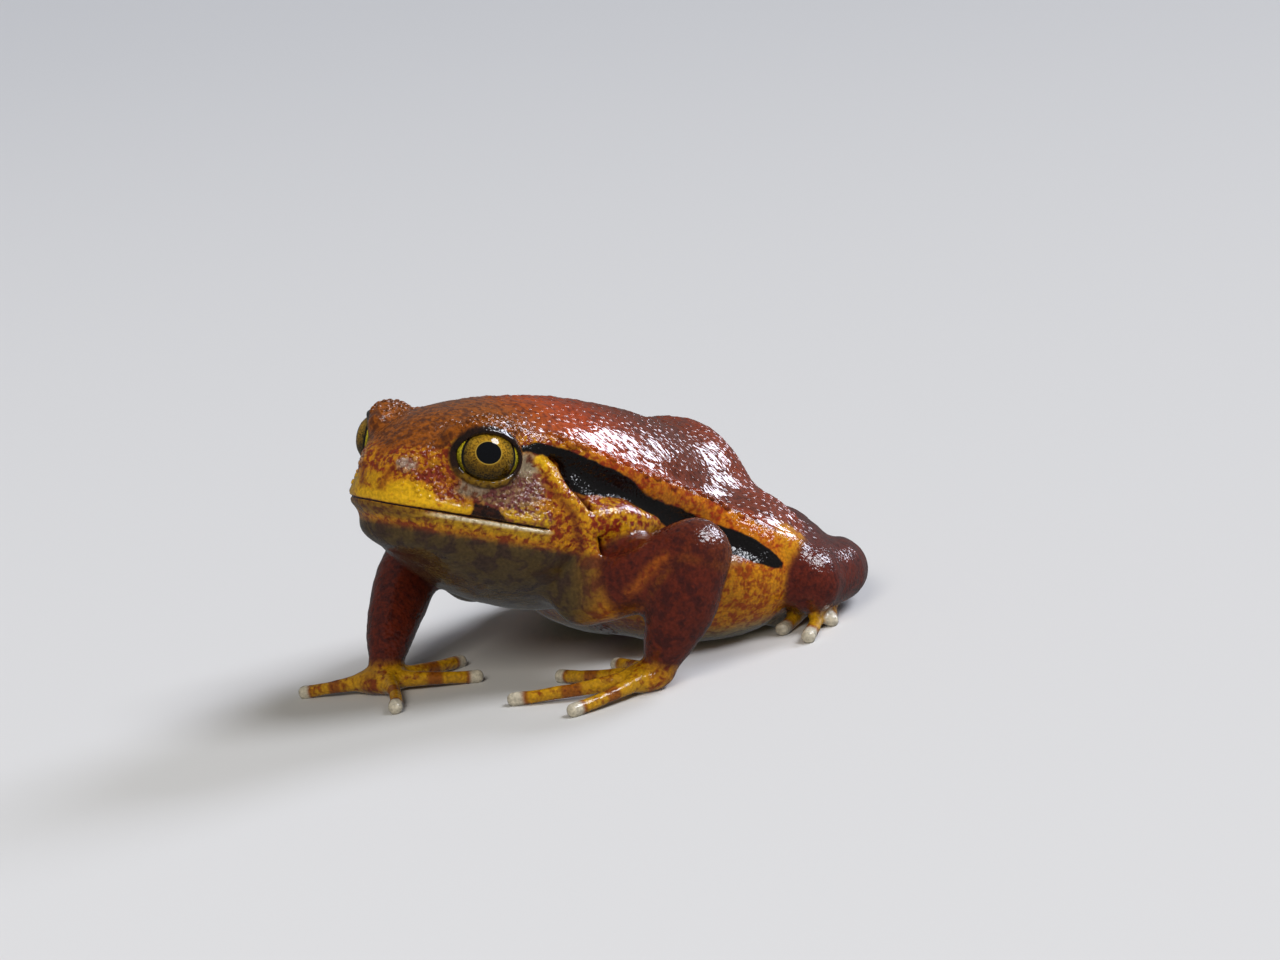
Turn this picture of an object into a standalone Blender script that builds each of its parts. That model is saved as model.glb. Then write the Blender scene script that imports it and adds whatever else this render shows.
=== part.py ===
"""Tomato frog, life size, resting with its head raised and its elbows bent.

The frog faces -Y, its left side is +X, up is +Z and the floor is Z = 0.
All sizes below are in millimetres and are turned to metres when the meshes are made.
The body is thought of as clay: rounded masses that melt into each other by a named blend.
Each mass gives a distance to its surface, negative inside. The whole skin is one such distance
on a grid, it is parted into head, jaw, trunk, limbs and feet by thin cuts, and each piece
becomes a closed mesh.
"""
import math

import bmesh
import bpy
import numpy as np

# Grid and mesh
MM = 0.001
CELL = 0.55
GRID_LOW = (-37.0, -50.0, -1.6)
GRID_HIGH = (37.0, 44.0, 45.5)
FAR = 50.0
REACH = 5.0
PARTING_REACH = 3.0
GAP = 0.36
FLOOR_SNAP = 0.15
CURVE_STEPS = 4
UNTANGLE_PASSES = 30
PARED = 0.03
LEAST_SLOPE = 0.6
LONE_BLEND = 0.1

# Head: a frame at the eyes' height, nose up and leaning a little to the frog's left
HEAD_AT = (0.0, -32.6, 36.4)
NOSE_UP = 17.0
HEAD_LEAN = 3.5
NECK_Y = 17.0
NECK_BLEND = 6.0

# Head masses in the head's frame: centre, half sizes, blend
SKULL = ((0, 8.5, -1.9), (12.4, 17.5, 8.9), 1.0)
SNOUT = ((0, -3.3, -4.9), (7.6, 7.9, 4.6), 3.5)
UPPER_JAW_FRONT = ((0, 0.3, -8.0), (10.8, 11.9, 4.5), 3.0)
UPPER_JAW_REAR = ((0, 8.5, -8.4), (16.0, 13.2, 5.8), 3.5)
LOWER_JAW_FRONT = ((0, 2.2, -12.2), (10.2, 11.4, 3.8), 2.5)
LOWER_JAW_REAR = ((0, 10.0, -12.8), (15.6, 12.8, 4.8), 3.0)
THROAT = ((0, 14, -14.0), (13.5, 13, 7.0), 5.0)
NAPE = ((0, 17, 0), (12.5, 14, 7.4), 5.0)
CHEEK = ((12.4, 13.0, -8.0), (4.8, 8.2, 7.6), 4.0)
FACE_SIDE = ((8.2, 4.0, -5.4), (4.6, 5.4, 4.6), 3.0)
CANTHUS = [(6.9, -3.2, 0.4, 1.5), (4.9, -6.6, -1.3, 1.3), (3.1, -8.8, -2.8, 1.1)]
TYMPANIC_FOLD = [
    (12.6, 5.0, 1.2, 0.9), (13.6, 8.4, -1.0, 1.2), (15.6, 9.6, -4.6, 1.3),
    (16.8, 12.0, -7.0, 1.3), (17.2, 14.2, -11.0, 1.3), (16.6, 14.6, -14.4, 0.9),
]
CANTHUS_BLEND = 2.2
FOLD_BLEND = 1.6
FOLD_CREASE_BACK = 2.1
FOLD_CREASE_RADIUS = 0.55
CREASE_BLEND = 1.4

# Mouth: its line drops a little towards the corner, and the jaw is cut free in front of the corner
MOUTH_Z = -8.3
MOUTH_SLOPE = -0.04
MOUTH_FRONT_Y = -12.0
MOUTH_CORNER_Y = 7.6

# Eyes and lids
EYE_AT = (9.7, -0.4, -0.1)
EYE_RADIUS = 4.5
EYE_SIDES = 20
EYE_RINGS = 14
LID_SIZES = (6.0, 6.0, 5.8)
LID_BLEND = 1.8
GAZE = (0.78, -0.62, 0.03)
LID_OPENING = (4.7, 3.7, 4.3)
LID_OPENING_OUT = 5.5
LID_OPENING_BLEND = 0.5
SOCKET_BLEND = 0.05
BROW = [(7.8, -4.8, 2.3, 1.2), (10.2, -1.0, 3.9, 1.4), (11.0, 3.6, 3.4, 1.2), (12.0, 6.4, 2.0, 1.0)]
BROW_BLEND = 1.8

# Nostrils
NOSTRIL_AT = (4.1, -9.2, -2.9)
NOSTRIL_RADIUS = 0.75
NOSTRIL_BLEND = 0.4

# Trunk masses: centre, half sizes, nose-down turn about X, blend
CHEST = ((0, -10.5, 22.3), (17.5, 16.5, 12.2), 0, 1.0)
BELLY = ((0, 8, 11.4), (24.5, 18.2, 12.4), 0, 6.0)
FLANK = ((10, 9.6, 9.2), (15.0, 16.2, 10.2), 0, 4.2)
BACK = ((0, -6, 22.3), (16.5, 26, 14.4), -14, 5.5)
HUMP = ((0, 12.2, 19.4), (13.0, 11.0, 11.8), -30, 3.4)
RUMP = ((0, 28.0, 7.4), (10, 12.2, 6.1), -20, 3.2)

# Raised lines of skin on the trunk: x, y, z, radius
BACK_RIDGE = [
    (11.4, -26.5, 36.8, 1.3), (14.4, -21, 33.9, 1.8), (16.8, -12, 28.0, 2.0), (17.6, -0.4, 21.8, 2.0),
    (18.8, 4.5, 18.4, 2.0), (21.6, 8.0, 15.0, 2.1), (23.0, 11.0, 12.8, 2.2), (21.8, 16.0, 11.0, 2.0),
    (17.5, 22.5, 9.6, 2.0), (12.5, 27.0, 8.6, 2.0),
]
RIDGE_BLEND = 1.6
BAND_HOLLOW = [
    (18.6, -20.5, 30.0, 1.0), (20.0, -14.0, 26.6, 1.2), (20.8, -6.5, 21.6, 1.2), (21.4, -1.0, 18.0, 1.0),
    (24.6, 4.0, 14.2, 0.8),
]
BAND_BLEND = 3.0
HIP_KNOB = (22.8, 12.6, 12.2)
HIP_KNOB_RADIUS = 2.9
HIP_KNOB_BLEND = 1.8
SHOULDER_LOBE = [
    (16.4, -20.0, 23.6, 2.6), (17.4, -16.0, 22.6, 2.9), (18.4, -12.2, 21.6, 2.0), (18.8, -9.5, 21.2, 1.2),
]
LOBE_BLEND = 1.6

# Arms: points down each bone with the limb's radius there
UPPER_ARM = {
    "left": [(14, -20.6, 13.5, 5.0), (21.5, -17.5, 15.6, 5.2), (28.5, -12.5, 18.0, 4.7)],
    "right": [(-12.5, -18, 14, 5.0), (-17.0, -17.5, 16.5, 4.9), (-20.5, -20, 17, 4.4)],
}
FOREARM = {
    "left": [
        (28.5, -12.5, 18.0, 4.5), (28.2, -15.0, 12.5, 5.0),
        (26.8, -17.2, 7.5, 3.8), (25.6, -18.2, 4.2, 2.6),
    ],
    "right": [
        (-20.5, -20, 17, 4.2), (-19.5, -25, 13.5, 4.6),
        (-16.5, -31.5, 8.0, 3.7), (-14.5, -35.0, 4.4, 2.5),
    ],
}
ARM_BLEND = 2.5
PALM_AT = {"left": (24.2, -19.8), "right": (-14.0, -36.9)}
PALM_SIZES = (3.3, 3.6, 2.0)
PALM_SUNK = 0.2
FINGER_TIPS = {
    "left": [(12.5, -14.5), (9.0, -22.5), (11.0, -34.0), (23.5, -34.5)],
    "right": [(-12.5, -22.5), (-3.5, -27.5), (-3.0, -44.0), (-23.0, -44.0)],
}
FINGER_RADII = (1.6, 1.1, 0.9, 1.0)
FINGER_ARCH = 1.0
FINGER_BEND = 0.07

# Legs: hip, knee, heel and ball of the foot, then the radius at each
LEG = {
    "left": {
        "hip": (7, 29, 8.5), "knee": (24.5, 14.5, 7.7),
        "heel": (9.5, 36.5, 4.2), "ball": (16.5, 25.0, 2.2),
    },
    "right": {
        "hip": (-7, 29, 8.5), "knee": (-25.5, 13, 7.7),
        "heel": (-9.5, 36.0, 4.2), "ball": (-17.5, 24.5, 2.2),
    },
}
THIGH_RADII = (5.4, 5.8, 4.8)
SHANK_RADII = (4.4, 4.7, 2.9)
FOOT_RADII = (2.8, 2.2)
THIGH_OUT = (0.5, 0.5, -0.3)
BELOW_KNEE = (0.8, 0.5, -1.0)
CALF_OUT = (3.0, 1.6, -0.4)
LEG_BLEND = 1.6
TOE_ANGLES = (-34, -20, -7, 7, 20)
TOE_LENGTHS = (8, 12, 17, 22, 14)
TOE_RADII = (1.7, 1.25, 1.0, 1.05)
TOE_BEND = 0.05
DIGIT_BLEND = 1.2
DIGIT_TIP_Z = 0.85
DIGIT_SHARES = (0.0, 0.38, 0.72, 1.0)

# Most triangles each piece is thinned to
TRIANGLES = {
    "head": 3000, "lower_jaw": 700, "torso": 2600, "upper_arm": 340, "forearm": 340, "hand": 700,
    "thigh": 340, "shank": 340, "foot": 760,
}

# Skin colours, as linear RGB, with roughness
SKIN_ORANGE = ((0.40, 0.07, 0.015), 0.32)
LIMB_MAROON = ((0.20, 0.035, 0.015), 0.34)
DIGIT_YELLOW = ((0.45, 0.24, 0.04), 0.36)
JAW_YELLOW = ((0.50, 0.22, 0.02), 0.34)
EYE_GOLD = ((0.35, 0.23, 0.02), 0.08)


def clear_scene():
    for obj in list(bpy.data.objects):
        bpy.data.objects.remove(obj, do_unlink=True)


# Turns and places

def turn(x=0.0, y=0.0):
    """Rotation matrix for a turn about X, then about Y, in degrees."""
    cx, cy = math.cos(math.radians(x)), math.cos(math.radians(y))
    sx, sy = math.sin(math.radians(x)), math.sin(math.radians(y))
    about_x = np.array([[1, 0, 0], [0, cx, -sx], [0, sx, cx]])
    about_y = np.array([[cy, 0, sy], [0, 1, 0], [-sy, 0, cy]])
    return about_y @ about_x


HEAD_AXES = turn(y=HEAD_LEAN) @ turn(x=-NOSE_UP)


def on_head(point):
    """A place in the head's frame, as a place in the world."""
    return np.array(HEAD_AT) + HEAD_AXES @ np.array(point, float)


def mirrored(point, side):
    return (point[0] * side,) + tuple(point[1:])


def gaze(side):
    out = HEAD_AXES @ np.array(mirrored(GAZE, side))
    return out / np.linalg.norm(out)


def eye_axes(side):
    """Across, up and out of one eye, as matrix columns."""
    out = gaze(side)
    across = np.cross(HEAD_AXES[:, 2], out)
    across /= np.linalg.norm(across)
    return np.stack([across, np.cross(out, across), out], 1)


# Clay: masses and how they join

class Mass:
    """An ellipsoid."""

    def __init__(self, centre, sizes, axes=None):
        self.centre = np.array(centre, np.float32)
        self.sizes = np.array(sizes, np.float32)
        self.axes = np.eye(3, dtype=np.float32) if axes is None else np.array(axes, np.float32)
        half = np.sqrt(((self.axes * self.sizes) ** 2).sum(1))
        self.low = self.centre - half
        self.high = self.centre + half

    def distance(self, points):
        local = (points - self.centre) @ self.axes
        near = np.sqrt(((local / self.sizes) ** 2).sum(-1))
        slope = np.sqrt(((local / self.sizes ** 2) ** 2).sum(-1))
        return near * (near - 1.0) / np.maximum(slope, 1e-6)


def smooth_path(rows):
    """A Catmull-Rom curve through rows of x, y, z and radius."""
    rows = np.array(rows, float)
    if len(rows) < 3:
        return rows
    ends = np.vstack([2 * rows[0] - rows[1], rows, 2 * rows[-1] - rows[-2]])
    path = []
    for i in range(1, len(ends) - 2):
        before, start, stop, after = ends[i - 1:i + 3]
        for t in np.linspace(0, 1, CURVE_STEPS, endpoint=False):
            bend = 2 * before - 5 * start + 4 * stop - after
            twist = 3 * start - before - 3 * stop + after
            path.append(start + 0.5 * ((stop - before) * t + bend * t ** 2 + twist * t ** 3))
    path.append(rows[-1])
    return np.array(path)


class Cord:
    """A round, tapering length along a smooth path."""

    def __init__(self, rows):
        self.path = smooth_path(rows)
        self.low = (self.path[:, :3] - self.path[:, 3:]).min(0)
        self.high = (self.path[:, :3] + self.path[:, 3:]).max(0)

    def distance(self, points):
        best = np.full(points.shape[:-1], FAR, np.float32)
        for start, stop in zip(self.path[:-1], self.path[1:]):
            along = (stop[:3] - start[:3]).astype(np.float32)
            offset = points - start[:3].astype(np.float32)
            t = np.clip((offset @ along) / max(float(along @ along), 1e-9), 0, 1)
            miss = offset - t[..., None] * along
            radius = start[3] + t * (stop[3] - start[3])
            best = np.minimum(best, np.sqrt((miss * miss).sum(-1)) - radius)
        return best


def join(a, b, blend):
    """The two shapes together, with a rounded valley as wide as the blend."""
    overlap = np.maximum(blend - np.abs(a - b), 0.0)
    return np.minimum(a, b) - overlap * overlap / (4.0 * blend)


class Clay:
    """The grid that holds every distance."""

    def __init__(self):
        self.low = np.array(GRID_LOW, np.float32)
        self.count = np.ceil((np.array(GRID_HIGH) - self.low) / CELL).astype(int) + 1
        lines = [self.low[i] + CELL * np.arange(self.count[i], dtype=np.float32) for i in range(3)]
        self.points = np.stack(np.meshgrid(*lines, indexing="ij"), -1)

    def empty(self):
        return np.full(tuple(self.count), FAR, np.float32)

    def window(self, shape, margin):
        first = np.floor((shape.low - margin - self.low) / CELL).astype(int)
        last = np.ceil((shape.high + margin - self.low) / CELL).astype(int) + 1
        first = np.clip(first, 0, self.count - 1)
        last = np.clip(last, 1, self.count)
        return tuple(slice(int(first[i]), int(last[i])) for i in range(3))

    def add(self, field, shape, blend):
        place = self.window(shape, blend + REACH)
        field[place] = join(field[place], shape.distance(self.points[place]), blend)

    def carve(self, field, shape, blend):
        place = self.window(shape, blend + REACH)
        field[place] = -join(-field[place], shape.distance(self.points[place]), blend)


# The frog's masses

def head_mass(form, side=1):
    centre, sizes, blend = form
    return Mass(on_head(mirrored(centre, side)), sizes, HEAD_AXES), blend


def head_cord(rows, side=1, back=0.0, radius=None):
    """A cord on the head, moved back along the head and given one radius where asked."""
    placed = []
    for x, y, z, size in rows:
        point = on_head((x * side, y + back, z))
        placed.append((*point, size if radius is None else radius))
    return Cord(placed)


def head_field(clay):
    field = clay.empty()
    middle = (SKULL, SNOUT, UPPER_JAW_FRONT, UPPER_JAW_REAR, LOWER_JAW_FRONT, LOWER_JAW_REAR, THROAT, NAPE)
    for form in middle:
        clay.add(field, *head_mass(form))
    for side in (1, -1):
        clay.add(field, *head_mass(CHEEK, side))
        clay.add(field, *head_mass(FACE_SIDE, side))
        clay.add(field, head_cord(CANTHUS, side), CANTHUS_BLEND)
        clay.add(field, head_cord(TYMPANIC_FOLD, side), FOLD_BLEND)
    return field


def trunk_field(clay):
    field = clay.empty()
    for form in (CHEST, BELLY, FLANK, BACK, HUMP, RUMP):
        centre, sizes, pitch, blend = form
        sides = (1, -1) if centre[0] else (1,)
        for side in sides:
            clay.add(field, Mass(mirrored(centre, side), sizes, turn(x=pitch)), blend)
    return field


def body_field(clay):
    """Head and trunk as one, with ridges, folds, lids, sockets and nostrils."""
    field = join(head_field(clay), trunk_field(clay), NECK_BLEND)
    for side in (1, -1):
        clay.add(field, Cord([mirrored(row, side) for row in BACK_RIDGE]), RIDGE_BLEND)
        clay.add(field, Mass(mirrored(HIP_KNOB, side), (HIP_KNOB_RADIUS,) * 3), HIP_KNOB_BLEND)
        clay.carve(field, Cord([mirrored(row, side) for row in BAND_HOLLOW]), BAND_BLEND)
        clay.add(field, Cord([mirrored(row, side) for row in SHOULDER_LOBE]), LOBE_BLEND)
        clay.add(field, Mass(on_head(mirrored(EYE_AT, side)), LID_SIZES, HEAD_AXES), LID_BLEND)
        clay.add(field, head_cord(BROW, side), BROW_BLEND)
        crease = head_cord(TYMPANIC_FOLD[1:], side, FOLD_CREASE_BACK, FOLD_CREASE_RADIUS)
        clay.carve(field, crease, CREASE_BLEND)
    for side in (1, -1):
        eye = on_head(mirrored(EYE_AT, side))
        opening = Mass(eye + LID_OPENING_OUT * gaze(side), LID_OPENING, eye_axes(side))
        clay.carve(field, opening, LID_OPENING_BLEND)
        clay.carve(field, Mass(eye, (EYE_RADIUS + GAP,) * 3), SOCKET_BLEND)
        clay.carve(field, Mass(on_head(mirrored(NOSTRIL_AT, side)), (NOSTRIL_RADIUS,) * 3), NOSTRIL_BLEND)
    return field


def digit_rows(root, tip, radii, bend):
    """A finger or toe: from inside the palm or sole, over a low arch, to a tip on the floor."""
    root, tip = np.array(root, float), np.array(tip, float)
    along = tip - root
    aside = np.array([-along[1], along[0]]) * bend
    rows = []
    for share, radius in zip(DIGIT_SHARES, radii):
        place = root + along * share + aside * math.sin(math.pi * share)
        height = DIGIT_TIP_Z + FINGER_ARCH * math.cos(math.pi / 2 * share)
        rows.append((*place, height, radius))
    return rows


def hand_field(clay, side_name):
    field = clay.empty()
    palm = PALM_AT[side_name]
    clay.add(field, Mass((*palm, PALM_SIZES[2] - PALM_SUNK), PALM_SIZES), DIGIT_BLEND)
    for tip in FINGER_TIPS[side_name]:
        bend = FINGER_BEND if tip[1] < palm[1] else -FINGER_BEND
        clay.add(field, Cord(digit_rows(palm, tip, FINGER_RADII, bend)), DIGIT_BLEND)
    return field


def foot_field(clay, side_name):
    """Sole and five toes, the fourth the longest, fanned from the inner side outwards."""
    field = clay.empty()
    side = 1 if side_name == "left" else -1
    heel, ball = (np.array(LEG[side_name][key], float) for key in ("heel", "ball"))
    clay.add(field, Cord([(*heel, FOOT_RADII[0]), (*ball, FOOT_RADII[1])]), DIGIT_BLEND)
    ahead = (ball - heel)[:2] / np.linalg.norm((ball - heel)[:2])
    outward = np.array([-ahead[1], ahead[0]]) * side
    for angle, length in zip(TOE_ANGLES, TOE_LENGTHS):
        way = ahead * math.cos(math.radians(angle)) + outward * math.sin(math.radians(angle))
        tip = ball[:2] + way * length
        clay.add(field, Cord(digit_rows(ball[:2], tip, TOE_RADII, TOE_BEND * side)), DIGIT_BLEND)
    return field


def thigh_cord(side_name):
    side = 1 if side_name == "left" else -1
    hip, knee = (np.array(LEG[side_name][key], float) for key in ("hip", "knee"))
    middle = (hip + knee) / 2 + np.array(mirrored(THIGH_OUT, side))
    return Cord([(*hip, THIGH_RADII[0]), (*middle, THIGH_RADII[1]), (*knee, THIGH_RADII[2])])


def shank_cord(side_name):
    side = 1 if side_name == "left" else -1
    knee, heel = (np.array(LEG[side_name][key], float) for key in ("knee", "heel"))
    below_knee = knee + np.array(mirrored(BELOW_KNEE, side))
    calf = (knee + heel) / 2 + np.array(mirrored(CALF_OUT, side))
    return Cord([(*below_knee, SHANK_RADII[0]), (*calf, SHANK_RADII[1]), (*heel, SHANK_RADII[2])])


def limb_fields(clay):
    """Each limb piece on its own, unblended, by node name, with the blend to what it grows from."""
    pieces = {}
    for name in ("left", "right"):
        for node, shape, blend in (
            ("upper_arm_" + name, Cord(UPPER_ARM[name]), ARM_BLEND),
            ("forearm_" + name, Cord(FOREARM[name]), ARM_BLEND),
            ("thigh_" + name, thigh_cord(name), LEG_BLEND),
            ("shank_" + name, shank_cord(name), LEG_BLEND),
        ):
            field = clay.empty()
            clay.add(field, shape, LONE_BLEND)
            pieces[node] = (field, blend)
        pieces["hand_" + name] = (hand_field(clay, name), DIGIT_BLEND)
        pieces["foot_" + name] = (foot_field(clay, name), DIGIT_BLEND)
    return pieces


# Parting the skin into solids

def beside(own, rival):
    """Distance to the middle surface between two shapes, negative on the own side."""
    edge = np.minimum(own, PARTING_REACH) - np.minimum(rival, PARTING_REACH)
    steps = np.gradient(edge, CELL)
    slope = np.sqrt(sum(step * step for step in steps))
    return edge / np.maximum(slope, LEAST_SLOPE)


def solid_fields(clay):
    """The distance to each node's own surface."""
    body = body_field(clay)
    limbs = limb_fields(clay)
    skin = body
    for field, blend in limbs.values():
        skin = join(skin, field, blend)
    skin = np.maximum(skin, -clay.points[..., 2])

    solids = {}
    for node, (own, blend) in limbs.items():
        rivals = [body] + [field for other, (field, _) in limbs.items() if other != node]
        rival = np.minimum.reduce(rivals)
        solids[node] = np.maximum(skin, beside(own, rival) + GAP / 2)

    limbs_together = np.minimum.reduce([field for field, _ in limbs.values()])
    own_skin = np.maximum(skin, beside(body, limbs_together) + GAP / 2)
    local = (clay.points - np.array(HEAD_AT, np.float32)) @ HEAD_AXES.astype(np.float32)
    behind_neck = local[..., 1] - NECK_Y
    mouth_line = MOUTH_Z + MOUTH_SLOPE * (local[..., 1] - MOUTH_FRONT_Y)
    jaw_zone = np.maximum(local[..., 2] - mouth_line, local[..., 1] - MOUTH_CORNER_Y)
    solids["lower_jaw"] = np.maximum(own_skin, jaw_zone + GAP / 2)
    solids["head"] = np.maximum(own_skin, np.maximum(behind_neck, -jaw_zone) + GAP / 2)
    solids["torso"] = np.maximum(own_skin, -behind_neck + GAP / 2)
    return solids


# From clay to mesh

def untangle(field):
    """Pares away grid points, so that no two sheets of the surface share an edge or a point."""
    span = tuple(n - 1 for n in field.shape)

    def corner(offset):
        return tuple(slice(offset[i], offset[i] + span[i]) for i in range(3))

    crossings = []
    for axis in range(3):
        u, v = np.eye(3, dtype=int)[[(axis + 1) % 3, (axis + 2) % 3]]
        crossings.append((0 * u, u + v, (u, v)))
        crossings.append((u, v, (0 * u, u + v)))
    for start in ((0, 0, 0), (1, 0, 0), (0, 1, 0), (0, 0, 1)):
        stop = tuple(1 - i for i in start)
        others = [c for c in np.ndindex(2, 2, 2) if c not in (start, stop)]
        crossings.append((start, stop, others))
    for _ in range(UNTANGLE_PASSES):
        changed = 0
        for start, stop, others in crossings:
            tangle = (field[corner(start)] < 0) & (field[corner(stop)] < 0)
            for other in others:
                tangle &= field[corner(other)] >= 0
            field[corner(start)][tangle] = PARED
            changed += int(tangle.sum())
        for start, stop, others in crossings[6:]:
            tunnel = (field[corner(start)] >= 0) & (field[corner(stop)] >= 0)
            for other in others:
                tunnel &= field[corner(other)] < 0
            field[corner(others[0])][tunnel] = PARED
            changed += int(tunnel.sum())
        if changed == 0:
            return


def surface(clay, field):
    """One vertex in each grid cell that the surface crosses, one quad at each crossed grid line."""
    untangle(field)
    inside = field < 0
    span = tuple(n - 1 for n in field.shape)
    corner_inside = [inside[i:i + span[0], j:j + span[1], k:k + span[2]]
                     for i in (0, 1) for j in (0, 1) for k in (0, 1)]
    total = sum(corner.astype(np.int8) for corner in corner_inside)
    crossed = np.argwhere((total > 0) & (total < 8))
    number = np.full(span, -1, np.int64)
    number[tuple(crossed.T)] = np.arange(len(crossed))

    sums = np.zeros((len(crossed), 3))
    hits = np.zeros(len(crossed))
    for axis in range(3):
        others = [other for other in range(3) if other != axis]
        for u in (0, 1):
            for v in (0, 1):
                start = np.zeros(3, int)
                start[others[0]], start[others[1]] = u, v
                stop = start.copy()
                stop[axis] = 1
                a = field[tuple((crossed + start).T)]
                b = field[tuple((crossed + stop).T)]
                cross = (a < 0) != (b < 0)
                t = np.where(cross, a / np.where(cross, a - b, 1.0), 0.0)
                place = start + t[:, None] * (stop - start)
                sums += place * cross[:, None]
                hits += cross
    vertices = clay.low + CELL * (crossed + sums / hits[:, None])

    quads = []
    for axis in range(3):
        u, v = (axis + 1) % 3, (axis + 2) % 3
        size = list(field.shape)
        size[axis] -= 1
        low = [slice(1, n - 1) for n in field.shape]
        high = list(low)
        low[axis] = slice(0, size[axis])
        high[axis] = slice(1, size[axis] + 1)
        first, second = inside[tuple(low)], inside[tuple(high)]
        for leaving in (True, False):
            found = np.argwhere(first & ~second if leaving else ~first & second)
            found += np.array([0 if i == axis else 1 for i in range(3)])
            ring = []
            for du, dv in ((1, 1), (0, 1), (0, 0), (1, 0)):
                cell = found.copy()
                cell[:, u] -= du
                cell[:, v] -= dv
                ring.append(number[tuple(cell.T)])
            quads.append(np.stack(ring if leaving else ring[::-1], 1))
    return vertices, np.concatenate(quads)


def keep_largest(shell):
    """Drops every loose scrap beside the largest closed surface."""
    unseen = set(shell.verts)
    groups = []
    while unseen:
        seed = unseen.pop()
        group, edge_of = [seed], [seed]
        while edge_of:
            for edge in edge_of.pop().link_edges:
                for vert in edge.verts:
                    if vert in unseen:
                        unseen.remove(vert)
                        group.append(vert)
                        edge_of.append(vert)
        groups.append(group)
    groups.sort(key=len)
    for group in groups[:-1]:
        bmesh.ops.delete(shell, geom=group, context="VERTS")


def skin_material(name, colour, roughness):
    material = bpy.data.materials.new(name)
    material.use_nodes = True
    shader = material.node_tree.nodes["Principled BSDF"]
    shader.inputs["Base Color"].default_value = (*colour, 1.0)
    shader.inputs["Roughness"].default_value = roughness
    shader.inputs["Metallic"].default_value = 0.0
    return material


def mesh_object(node, vertices, quads, most_triangles):
    """A closed, thinned mesh in metres, with its flats exactly on the floor."""
    mesh = bpy.data.meshes.new(node)
    mesh.from_pydata((vertices * MM).tolist(), [], quads.tolist())
    shell = bmesh.new()
    shell.from_mesh(mesh)
    keep_largest(shell)
    shell.to_mesh(mesh)
    shell.free()
    obj = bpy.data.objects.new(node, mesh)
    bpy.context.collection.objects.link(obj)
    triangles = sum(len(face.vertices) - 2 for face in mesh.polygons)
    thin = obj.modifiers.new("thin", "DECIMATE")
    thin.ratio = min(1.0, most_triangles / triangles)
    thin.use_collapse_triangulate = True
    thinned = bpy.data.meshes.new_from_object(obj.evaluated_get(bpy.context.evaluated_depsgraph_get()))
    obj.modifiers.remove(thin)
    obj.data = thinned
    bpy.data.meshes.remove(mesh)
    thinned.name = node
    for vertex in thinned.vertices:
        if vertex.co.z < FLOOR_SNAP * MM:
            vertex.co.z = 0.0
    thinned.shade_smooth()
    return obj


def finish_for(node):
    if node.startswith(("hand", "foot")):
        return DIGIT_YELLOW
    if node.startswith(("upper_arm", "forearm", "thigh", "shank")):
        return LIMB_MAROON
    return JAW_YELLOW if node == "lower_jaw" else SKIN_ORANGE


def piece_of(node):
    return node.replace("_left", "").replace("_right", "")


def make_flesh():
    clay = Clay()
    for node, field in solid_fields(clay).items():
        vertices, quads = surface(clay, field)
        obj = mesh_object(node, vertices, quads, TRIANGLES[piece_of(node)])
        colour, roughness = finish_for(node)
        obj.data.materials.clear()
        obj.data.materials.append(skin_material(node, colour, roughness))


def make_eye(name, side):
    centre = on_head(mirrored(EYE_AT, side)) * MM
    bpy.ops.mesh.primitive_uv_sphere_add(
        segments=EYE_SIDES, ring_count=EYE_RINGS, radius=EYE_RADIUS * MM, location=centre)
    eye = bpy.context.object
    eye.name = "eye_" + name
    eye.data.name = eye.name
    eye.data.shade_smooth()
    colour, roughness = EYE_GOLD
    eye.data.materials.append(skin_material(eye.name, colour, roughness))


def stand_on_origin():
    """Hangs every piece on one empty, which puts the middle of the frog's footprint at the origin."""
    pieces = list(bpy.data.objects)
    bpy.context.view_layer.update()
    corners = np.array([piece.matrix_world @ vertex.co for piece in pieces for vertex in piece.data.vertices])
    middle = (corners.min(0) + corners.max(0)) / 2
    frog = bpy.data.objects.new("frog", None)
    bpy.context.collection.objects.link(frog)
    frog.location = (-middle[0], -middle[1], -corners[:, 2].min())
    for piece in pieces:
        piece.parent = frog


clear_scene()
make_flesh()
make_eye("left", 1)
make_eye("right", -1)
stand_on_origin()
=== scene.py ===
# %% [markdown]
# # A tomato frog at rest
# The part is a life-size tomato frog, sitting with its head raised, one foreleg bent beside its chest
# and the other reaching forward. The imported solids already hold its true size, pose and place. This
# script gives it what solids can't: one unbroken wet skin, eyes that look back, and the colours of a
# living animal. Each step says first what the real thing is like, and then how it is made here.

# %% Load the solids that everything is fitted to
import math

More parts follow.
